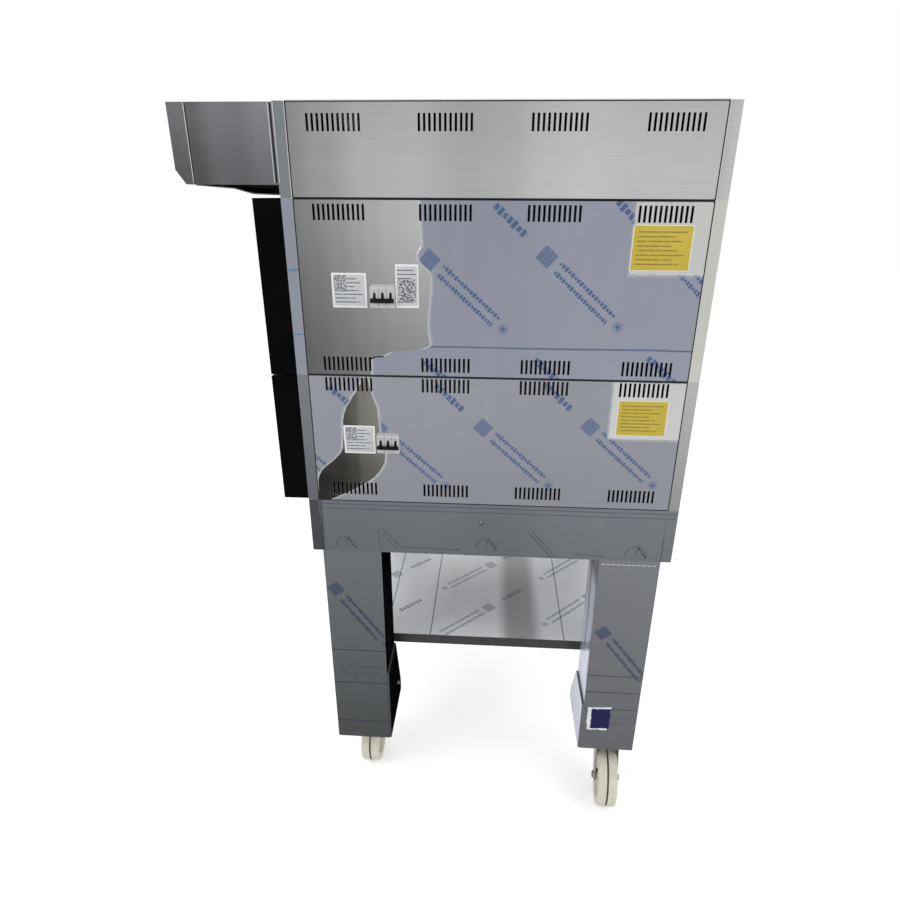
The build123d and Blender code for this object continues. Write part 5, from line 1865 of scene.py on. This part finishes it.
@dataclass
class RailMarks:
    """The thin dark marks of the film on the base rail, and the pale edge of the film on the rear leg.

    A stroke is a straight line from one depth and height to another. The hem is where the pale edge starts and
    ends and how far apart its strokes are.
    """

    arcs: Sequence[Flat] = ((-0.2680, 0.8440), (0.0875, 0.8520), (0.4576, 0.8450))
    arc_radius: float = 0.0265
    strokes: Sequence[Tuple[float, float, float, float]] = (
        (-0.1841, 0.8985, -0.1790, 0.8378), (-0.1738, 0.9046, -0.1274, 0.8516), (-0.1743, 0.8903, -0.1402, 0.8482),
        (-0.1274, 0.8516, 0.0197, 0.8490), (0.1873, 0.9103, 0.2509, 0.8370), (0.2022, 0.9081, 0.2607, 0.8388),
        (0.3095, 0.8496, 0.3816, 0.8440), (0.0100, 0.8520, 0.0197, 0.8490), (0.3740, 0.8475, 0.3816, 0.8440),
        (0.0684, 0.9337, 0.0700, 0.9235), (0.0700, 0.9235, 0.0761, 0.9200), (0.0761, 0.9320, 0.0761, 0.9200),
        (0.0761, 0.9250, 0.0858, 0.9288),
    )
    thin: float = 0.0006
    thick: float = 0.0013
    hem: Sequence[float] = (0.378, 0.512, 0.0125)
    hem_high: float = 0.8225

    def build(self, finishes: "Finishes") -> None:
        """Draw the strokes, and the arcs with a thick stroke beside each."""
        lines = [self.stroke(*ends, self.thin) for ends in self.strokes]
        turn = np.linspace(0.0, pi, 9)
        for depth, height in self.arcs:
            y, z = depth - self.arc_radius * np.cos(turn), height + 1.2 * self.arc_radius * np.sin(turn)
            lines += [self.stroke(*ends, self.thin) for ends in zip(y[:-1], z[:-1], y[1:], z[1:])]
            lines.append(self.stroke(depth, height, depth + 0.004, height + 0.030, self.thin))
            lines.append(self.stroke(depth + 0.006, height + 0.028, depth + 0.025, height, self.thick))
        Shell.of(lines).piece("rail_film_marks", finishes.mark, "filmed_stainless")
        pale = [self.stroke(near, self.hem_high, near + 0.008, self.hem_high + 0.0003, 0.0008)
                for near in np.arange(*self.hem)]
        Shell.of(pale).piece("leg_film_edge", finishes.pale_patch, "filmed_stainless")

    @staticmethod
    def stroke(start: float, low: float, end: float, high: float, half: float) -> Shell:
        """A thin raised line between two points of the right side's face.

        Args:
            start: The first point's depth.
            low: The first point's height.
            end: The second point's depth.
            high: The second point's height.
            half: Half the line's breadth.

        Returns:
            The line.
        """
        run = np.array([end - start, high - low])
        length = float(np.hypot(*run))
        cosine, sine = run / length
        bar = leaf(length / 2 + half, half, half * 0.9, 0.00012)
        return bar.turned((SIDE_FACE, (start + end) / 2, (low + high) / 2),
                          np.array([(0.0, cosine, sine), (0.0, -sine, cosine), (1.0, 0.0, 0.0)]))


@dataclass
class HoodDressing:
    """Rivets round the duct spigot and pan head screws on the rear panels."""

    rivets: int = 8
    rivet_ring: float = 0.085
    top_recess: float = 0.050
    screw_radius: float = 0.0038
    screw_high: float = 0.0022
    screw_rows: Sequence[float] = (0.995, 1.280, 1.314, 1.652, 1.686, 1.828)
    screw_columns: Sequence[float] = (-0.490, -0.165, 0.165, 0.490)

    def build(self, finishes: "Finishes") -> None:
        """Make the rivets and screws."""
        low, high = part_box("hood_casing")
        middle, top = (low[1] + high[1]) / 2, high[2] - self.top_recess
        heads = [dome(0.0034, 0.0013).turned((self.rivet_ring * cos(a), middle + self.rivet_ring * sin(a), top))
                 for a in (np.arange(self.rivets) + 0.5) * tau / self.rivets]
        Shell.of(heads).piece("spigot_rivets", finishes.zinc, "brushed_stainless")
        screws = [self.screw().turned((x, high[1], z), Facing.REAR)
                  for z in self.screw_rows for x in self.screw_columns]
        Shell.of(screws).piece("rear_panel_screws", finishes.zinc, "zinc_steel")

    def screw(self) -> Shell:
        """A pan head with a recess: the profile goes over the crown and down a small socket."""
        shares = ((1.0, 0.0), (1.0, 0.45), (0.86, 0.82), (0.6, 1.0), (0.42, 1.0), (0.36, 0.4))
        return lathed([(self.screw_radius * out, self.screw_high * up) for out, up in shares], 24)


@dataclass
class CableGlands:
    """Both glands: a hexagonal base, a fluted dome nut and a clear bore through them."""

    across_flats: float = 0.0276
    neck: float = 0.0118
    bore: float = 0.009
    base: float = 0.007
    nut_radius: float = 0.0131
    inset: float = 0.016

    def build(self, finishes: "Finishes") -> None:
        """Make both glands in one piece."""
        low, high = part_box("cable_glands")
        x = (low[0] + high[0]) / 2
        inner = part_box("lower_carcass")[1][1] - low[1]
        out = high[1] - low[1] - inner
        gland = self.gland(out, inner)
        pair = Shell.of([gland.turned((x, high[1] - out, z), Facing.REAR)
                         for z in (low[2] + self.inset, high[2] - self.inset)])
        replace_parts(pair.piece("cable_gland_pair", finishes.gland, "gland_plastic", sharp_from=28.0), "cable_glands")

    def gland(self, out: float, inner: float) -> Shell:
        """A gland as rings round the bore.

        The base's ring has the radius f / (2 cos(b)), where b is the angle to the nearest flat's middle. The nut's
        rings are r - d cos^2(10 a), and the others are round.

        Args:
            out: How far it stands proud of the panel.
            inner: How far it goes in behind the panel's face.

        Returns:
            The gland about its own z axis, with the panel's face at zero.
        """
        angle = full_turn(120)
        hexed = self.across_flats / 2 / np.cos(np.mod(angle, tau / 6) - tau / 12)
        fluted = self.nut_radius - 0.0005 * np.cos(10 * angle) ** 2
        rings = (
            (self.neck, -inner), (self.neck, 0.0), (hexed, 0.00005), (hexed, self.base - 0.001),
            (hexed * 0.95, self.base), (0.0124, self.base + 0.0002), (0.0124, self.base + 0.0012),
            (fluted, self.base + 0.0014), (fluted, out - 0.0042), (0.0115, out - 0.0014), (0.0103, out),
            (self.bore + 0.0003, out), (self.bore, out - 0.0008), (self.bore, -inner),
        )
        return stacked([((radius * np.ones_like(angle))[:, None] * round_of(angle), height)
                        for radius, height in rings], closed=True)


# Finishes in use

class Finishes:
    """Every finish of the oven, made once."""

    def __init__(self, effects: Effects) -> None:
        """Make the materials of the pieces, and keep them by name for the frame's own nodes."""
        def made(finish: Finish) -> bpy.types.Material:
            """Draw one finish."""
            return finish.material(effects)

        self.zinc = made(SpangledZinc("zinc_plate"))
        self.nylon = made(CastNylon("cream_nylon"))
        self.knob = made(Coated("knob_plastic", (0.014, 0.014, 0.015), (0.08, 0.08, 0.08), 0.42,
                                gloss=0.3, mottle=0.2))
        self.lever = made(Coated("lever_plastic", (0.005, 0.005, 0.006), (0.03, 0.03, 0.03), 0.38,
                                 gloss=0.06, wear_and_highlight=0.3, dust=0.02))
        self.seam = made(Coated("seam_shadow", (0.012, 0.012, 0.013), (0.03, 0.03, 0.03), 0.6,
                                gloss=0.15, wear_and_highlight=0.0, dust=0.03))
        # A pale steel tone for the painted highlight lines on folded edges.
        self.edge = made(BrushedSteel("folded_edge_steel", (0.62, 0.62, 0.635), Grain.ALONG_HEIGHT, 0.3, wear_and_highlight=0.1))
        self.mark = made(Coated("film_mark_dark", (0.03, 0.045, 0.07), (0.1, 0.12, 0.15), 0.5,
                                gloss=0.1, wear_and_highlight=0.0, dust=0.02))
        self.marker = made(Coated("marker_strip", (0.46, 0.47, 0.48), (0.6, 0.6, 0.6), 0.5))
        self.legend = made(Coated("printed_legend", (0.62, 0.62, 0.60), (0.4, 0.4, 0.4), 0.6, wear_and_highlight=0.2))
        self.lens_green = made(Coated("green_lens", (0.05, 0.32, 0.10), (0.3, 0.5, 0.3), 0.18, coat=0.6, wear_and_highlight=0.2))
        self.lens_amber = made(Coated("amber_lens", (0.62, 0.20, 0.02), (0.7, 0.4, 0.2), 0.18, coat=0.6, wear_and_highlight=0.2))
        self.gasket = made(Coated("gasket_rope", (0.09, 0.085, 0.08), (0.2, 0.2, 0.19), 0.85,
                                  texture_scale=500.0, texture_depth=0.0002))
        self.gland = made(Coated("gland_nylon", (0.035, 0.035, 0.036), (0.12, 0.12, 0.12), 0.55))
        self.element = made(Coated("oxidised_element", (0.10, 0.09, 0.085), (0.24, 0.21, 0.18), 0.55, 0.85,
                                   mottle=0.35, mottle_scale=30.0))
        self.enamel = made(Coated("black_enamel", (0.0012, 0.0012, 0.0014), (0.03, 0.03, 0.03), 0.42,
                                  gloss=0.02, wear_and_highlight=0.3, dust=0.01))
        self.handle = made(BrushedSteel("handle_steel", (0.58, 0.58, 0.59), Grain.ALONG_WIDTH, 0.22, wear_and_highlight=0.3))
        self.fitting_steel = made(BrushedSteel("fitting_steel", (0.50, 0.49, 0.47), roughness=0.34))
        self.lamp_glass = made(Glass("lamp_glass", (0.90, 0.87, 0.78), 0.12))
        white, ink = (0.46, 0.475, 0.49), (0.03, 0.032, 0.04)
        self.label_long = made(Paper("long_label", white, ink, 9.0, 0.85,
                                     box=(0.06, 0.42, 0.46, 0.94), cells=(50.0, 49.0)))
        self.label_tall = made(Paper("tall_label", white, ink, 11.0, 0.85,
                                     box=(0.12, 0.88, 0.14, 0.66), cells=(25.0, 46.0)))
        self.label_yellow = made(Paper("yellow_label", (0.465, 0.354, 0.024), (0.10, 0.08, 0.02), 10.0, 0.75, 0.014))
        self.film_line = made(Coated("film_line_blue", (0.085, 0.17, 0.26), (0.2, 0.3, 0.4), 0.35, 0.3,
                                     wear_and_highlight=0.1, dust=0.05))
        self.scrap = made(Coated("navy_scrap", (0.005, 0.008, 0.06), (0.05, 0.07, 0.2), 0.5,
                                 gloss=0.12, wear_and_highlight=0.3, dust=0.02))
        self.pale_patch = made(BrushedSteel("pale_bare_steel", (0.60, 0.61, 0.62), roughness=0.4, wear_and_highlight=0.1))
        # In these finishes, the banding along depth and the levels by height paint reflections, light and shade as well
        # as real changes of tone.
        self.nodes = {
            "enamel": self.enamel,
            "zinc": self.zinc,
            "hood": made(BrushedSteel("hood_side_steel", (0.525, 0.525, 0.53), tone_and_light_bands=(
                (-0.34, 0.40), (-0.26, 0.54), (-0.17, 0.74), (-0.08, 0.79), (0.03, 0.71), (0.10, 0.75), (0.19, 0.90),
                (0.26, 0.95), (0.40, 0.88), (0.54, 0.87)), light_by_height=(1.72, 1.845, 1.0, 0.89))),
            "hood_casing": made(BrushedSteel("hood_casing_steel", (0.40, 0.40, 0.405), drift=0.0, tone_and_light_bands=(
                (-0.353, (0.172, 0.186, 0.196)), (-0.325, (0.172, 0.186, 0.196)), (0.0, 0.8), (0.51, 0.95),
                (0.54, 1.15)), light_by_height=(1.67, 1.845, 1.0, 0.97))),
            "canopy": made(BrushedSteel("canopy_steel", (0.30, 0.30, 0.306), Grain.ALONG_HEIGHT, 0.40, tone_and_light_bands=tuple(
                (depth, dimmed((0.198, 0.198, 0.214), light)) for depth, light in (
                    (-0.5665, 0.46), (-0.535, 0.50), (-0.52, 0.37), (-0.47, 0.62), (-0.43, 0.61), (-0.38, 0.77),
                    (-0.354, 0.82))), drift=0.03, light_by_height=(1.70, 1.83, 0.80, 1.10))),
            "tray": made(BrushedSteel("drip_tray_steel", (0.13, 0.13, 0.14), Grain.ALONG_WIDTH, 0.35)),
            "rail": made(Film("rail_film", (0.139, 0.148, 0.164), print_strength=0.0, coat=0.05,
                              lines=(0.9685, 0.9560), line_tone=(0.035, 0.04, 0.055), line_half=0.0007, tone_and_light_bands=(
                                  (-0.3535, 0.33), (-0.326, 0.34), (-0.318, 0.84), (-0.05, 0.88), (0.10, 0.84),
                                  (0.30, 1.0), (0.55, 0.98)), light_by_height=(0.835, 0.978, 0.86, 1.0))),
            "front_leg_right": made(self.front_leg("right", -1.0)),
            "front_leg_left": made(self.front_leg("left", 1.0)),
            # The rear leg's faces that look to the front take a pale painted light.
            "rear_leg": made(Film("rear_leg_film", (0.145, 0.152, 0.165), ink=(0.008, 0.028, 0.08),
                                  square_at=(0.401, 0.6124), slant=-0.902, printed=(0.43, 0.72),
                                  arrow_at=(0.500, 0.312), lines=(0.413, 0.353, 0.470), line_half=0.0013,
                                  line_tone=(0.012, 0.024, 0.06), light_by_height=(0.24, 0.82, 0.68, 1.0), coat=0.05,
                                  turned=(((0.0, -1.0, 0.0), (0.74, 0.78, 0.90)),))),
            # The shelf's tone is raised above the film's own as painted light, to make up for the shade under the oven;
            # its side lips take a near-black painted shade.
            "shelf": made(Film("shelf_film", (0.90, 0.92, 0.95), Grain.ALONG_WIDTH, 0.10, square_at=(0.003, 0.1066),
                               slant=-0.79, top=0.474, print_strength=0.6, lines=(-0.203, -0.070, 0.3225),
                               line_tone=(0.05, 0.12, 0.28), line_half=0.0016, tone_and_light_bands=(
                                   (-0.31, 1.03), (-0.12, 1.03), (0.0, 0.94), (0.12, 0.92), (0.17, 0.42),
                                   (0.22, 0.42), (0.27, 0.9), (0.50, 0.95)),
                               turned=tuple(((way, 0.0, 0.0), (0.02, 0.017, 0.015)) for way in (1.0, -1.0)))),
            "side_left": made(Film("left_side_film", square_at=(0.05, 1.50), lines=(1.366,))),
            "upper_carcass": made(BrushedSteel(
                "upper_casing_steel", (0.40, 0.405, 0.41), Grain.ALONG_HEIGHT, 0.38, drift=0.0, tone_and_light_bands=(
                    (-0.354, (0.235, 0.252, 0.293)), (-0.325, (0.235, 0.252, 0.293)), (-0.30, 0.52), (0.0, 0.8),
                    (0.50, (0.49, 0.487, 0.455)), (0.55, (0.505, 0.50, 0.465))))),
            "lower_carcass": made(BrushedSteel(
                "lower_casing_steel", (0.40, 0.40, 0.405), Grain.ALONG_HEIGHT, 0.38, drift=0.0, tone_and_light_bands=(
                    (-0.354, (0.167, 0.175, 0.195)), (-0.325, (0.167, 0.175, 0.195)), (-0.30, 0.42), (0.0, 0.8),
                    (0.50, 0.96), (0.55, 1.0)), light_by_height=(1.0, 1.28, 0.62, 1.0))),
            "upper_side": made(PeeledFilm(
                "upper_side_peeled",
                Film("upper_side_film", (0.236, 0.252, 0.303), square_at=(0.197, 1.5588), lines=(1.366,),
                     line_tone=(0.075, 0.105, 0.17), line_half=0.0019,
                     tone_and_light_bands=((-0.10, 0.96), (0.10, 0.96), (0.30, 1.06), (0.50, 1.06))),
                BrushedSteel("upper_patch_steel", (0.398, 0.40, 0.40), roughness=0.34, tone_and_light_bands=(
                    (-0.34, 0.44), (-0.30, 0.52), (-0.24, 0.66), (-0.20, 0.80), (-0.17, 0.88), (-0.13, 0.98),
                    (-0.06, 1.08)), light_by_height=(1.35, 1.62, 0.54, 1.0)),
                ((1.297, -0.45), (1.68, -0.45)),
                ((1.297, -0.182), (1.336, -0.180), (1.343, -0.154), (1.3526, -0.1335), (1.3583, -0.0708),
                 (1.3721, -0.0484), (1.407, -0.0525), (1.512, -0.0445), (1.557, -0.0745), (1.582, -0.0645),
                 (1.659, -0.0679)),
                (0.3705, 0.5335, 1.527, 1.664))),
            "lower_side": made(PeeledFilm(
                "lower_side_peeled",
                Film("lower_side_film", (0.248, 0.256, 0.292), square_at=(0.0729, 1.178),
                     light_by_height=(1.0, 1.26, 0.85, 1.0)),
                BrushedSteel("lower_patch_steel", (0.168, 0.163, 0.147), roughness=0.34, tone_and_light_bands=(
                    (-0.33, 0.15), (-0.27, 0.22), (-0.235, 0.36), (-0.215, 0.66), (-0.195, 0.76), (-0.16, 0.98)),
                    light_by_height=(1.05, 1.21, 0.64, 1.34)),
                ((0.983, -0.3285), (1.043, -0.3235), (1.116, -0.2605), (1.204, -0.2515), (1.251, -0.2255),
                 (1.285, -0.205)),
                ((0.984, -0.2885), (1.020, -0.2195), (1.052, -0.1785), (1.102, -0.1575), (1.175, -0.1695),
                 (1.214, -0.1715), (1.248, -0.1815), (1.285, -0.190)),
                (0.3625, 0.5345, 1.161, 1.292))),
            "chamber": made(BrushedSteel("chamber_steel", (0.40, 0.385, 0.365), roughness=0.45, wear_and_highlight=0.3, dust=0.3)),
            "wool": made(Wool("mineral_wool")),
            "stone": made(Stone("baking_stone")),
            "glass": made(Glass("door_glass")),
            "control": made(Coated("control_housing", (0.03, 0.03, 0.032), (0.12, 0.12, 0.12))),
            "rocker": made(Coated("rocker_plastic", (0.008, 0.008, 0.009), (0.05, 0.05, 0.05), 0.35,
                                  gloss=0.3, dust=0.1)),
            "breaker": made(Coated("breaker_plastic", (0.45, 0.46, 0.47), (0.62, 0.62, 0.62), 0.48,
                                   mottle=0.05, wear_and_highlight=0.3, dust=0.12)),
        }

    @staticmethod
    def front_leg(side: str, inwards: float) -> Film:
        """The film of a front leg, whose rear and inner faces carry a near-black painted shade; inwards is the inner
        face's X.
        """
        return Film(f"front_leg_film_{side}", (0.131, 0.141, 0.148), metallic=0.0, ink=(0.008, 0.028, 0.08),
                    square_at=(-0.3031, 0.7169), slant=-0.943, printed=(0.53, 0.80), arrow_at=(-0.192, 0.450),
                    lines=(0.519, 0.406, 0.265), line_half=0.0013, line_tone=(0.012, 0.024, 0.06),
                    light_by_height=(0.24, 0.82, 0.42, 1.0), coat=0.0, gloss=0.08, turned_dull=True,
                    turned=(((0.0, 1.0, 0.0), (0.006, 0.006, 0.007)), ((inwards, 0.0, 0.0), (0.02, 0.02, 0.022))))


FINISH_BY_START = (
    ("base_", "rail"), ("leg_front_right", "front_leg_right"), ("leg_front_left", "front_leg_left"),
    ("leg_rear", "rear_leg"), ("stand_shelf", "shelf"), ("caster_", "zinc"), ("hood_side", "hood"),
    ("hood_casing", "hood_casing"), ("canopy", "canopy"), ("drip_tray", "tray"), ("cable_glands", "control"),
)
FINISH_BY_END = (
    ("side_left", "side_left"), ("chamber", "chamber"), ("insulation", "wool"), ("baking_stones", "stone"),
    ("heating_elements", "zinc"), ("lamp_and_probe", "glass"), ("front", "enamel"), ("controls", "control"),
    ("light_switch", "rocker"), ("heat_knob", "rocker"), ("door", "enamel"), ("door_glass", "glass"),
    ("door_handle", "zinc"), ("breaker", "breaker"), ("breaker_toggle", "enamel"),
)


def dress_nodes(finishes: Finishes) -> None:
    """Give every node of the frame its finish, also those that a piece stands for."""
    for node in frame["nodes"]:
        deck, _, rest = node.partition("_")
        if deck in DECKS:
            key = {"carcass": f"{deck}_carcass", "side_right": f"{deck}_side"}.get(rest)
            key = key or next(finish for end, finish in FINISH_BY_END if rest.endswith(end))
        else:
            key = next(finish for start, finish in FINISH_BY_START if node.startswith(start))
        wear_finish(node, finishes.nodes[key])
        LOG.info("node %s wears %s", node, key)


def main() -> None:
    """Dress the oven."""
    logging.basicConfig(level=logging.INFO, format="%(name)s: %(message)s")
    effects = Effects()
    finishes = Finishes(effects)
    dress_nodes(finishes)
    parts = [*map(Caster, CORNERS), CasterPlates(), PanelSeams(), TornScraps(), RailMarks(), HoodDressing(),
             CableGlands()]
    for deck in DECKS:
        parts += [HeatKnob(deck, "top"), HeatKnob(deck, "bottom"), ControlColumn(deck), DoorDressing(deck),
                  ChamberFittings(deck), BreakerNose(deck)]
    parts += [
        SideSheet("upper_white_long", SheetKind.LONG, -0.259, -0.184, 1.449, 1.522),
        SideSheet("upper_white_tall", SheetKind.TALL, -0.121, -0.0715, 1.450, 1.541),
        SideSheet("lower_white", SheetKind.LONG, -0.2545, -0.1805, 1.106, 1.176),
        SideSheet("upper_yellow", SheetKind.YELLOW, 0.3675, 0.4890, 1.533, 1.623),
        SideSheet("lower_yellow", SheetKind.YELLOW, 0.3755, 0.4875, 1.168, 1.252),
        SideSheet("strip_line_high", SheetKind.LINE, -0.3530, -0.3290, 1.5242, 1.5290),
        SideSheet("strip_line_low", SheetKind.LINE, -0.3530, -0.3290, 1.3872, 1.3904),
    ]
    for part in parts:
        part.build(finishes)
        LOG.info("built %s", type(part).__name__)
    Studio().build(effects)


if __name__ == "__main__":
    main()
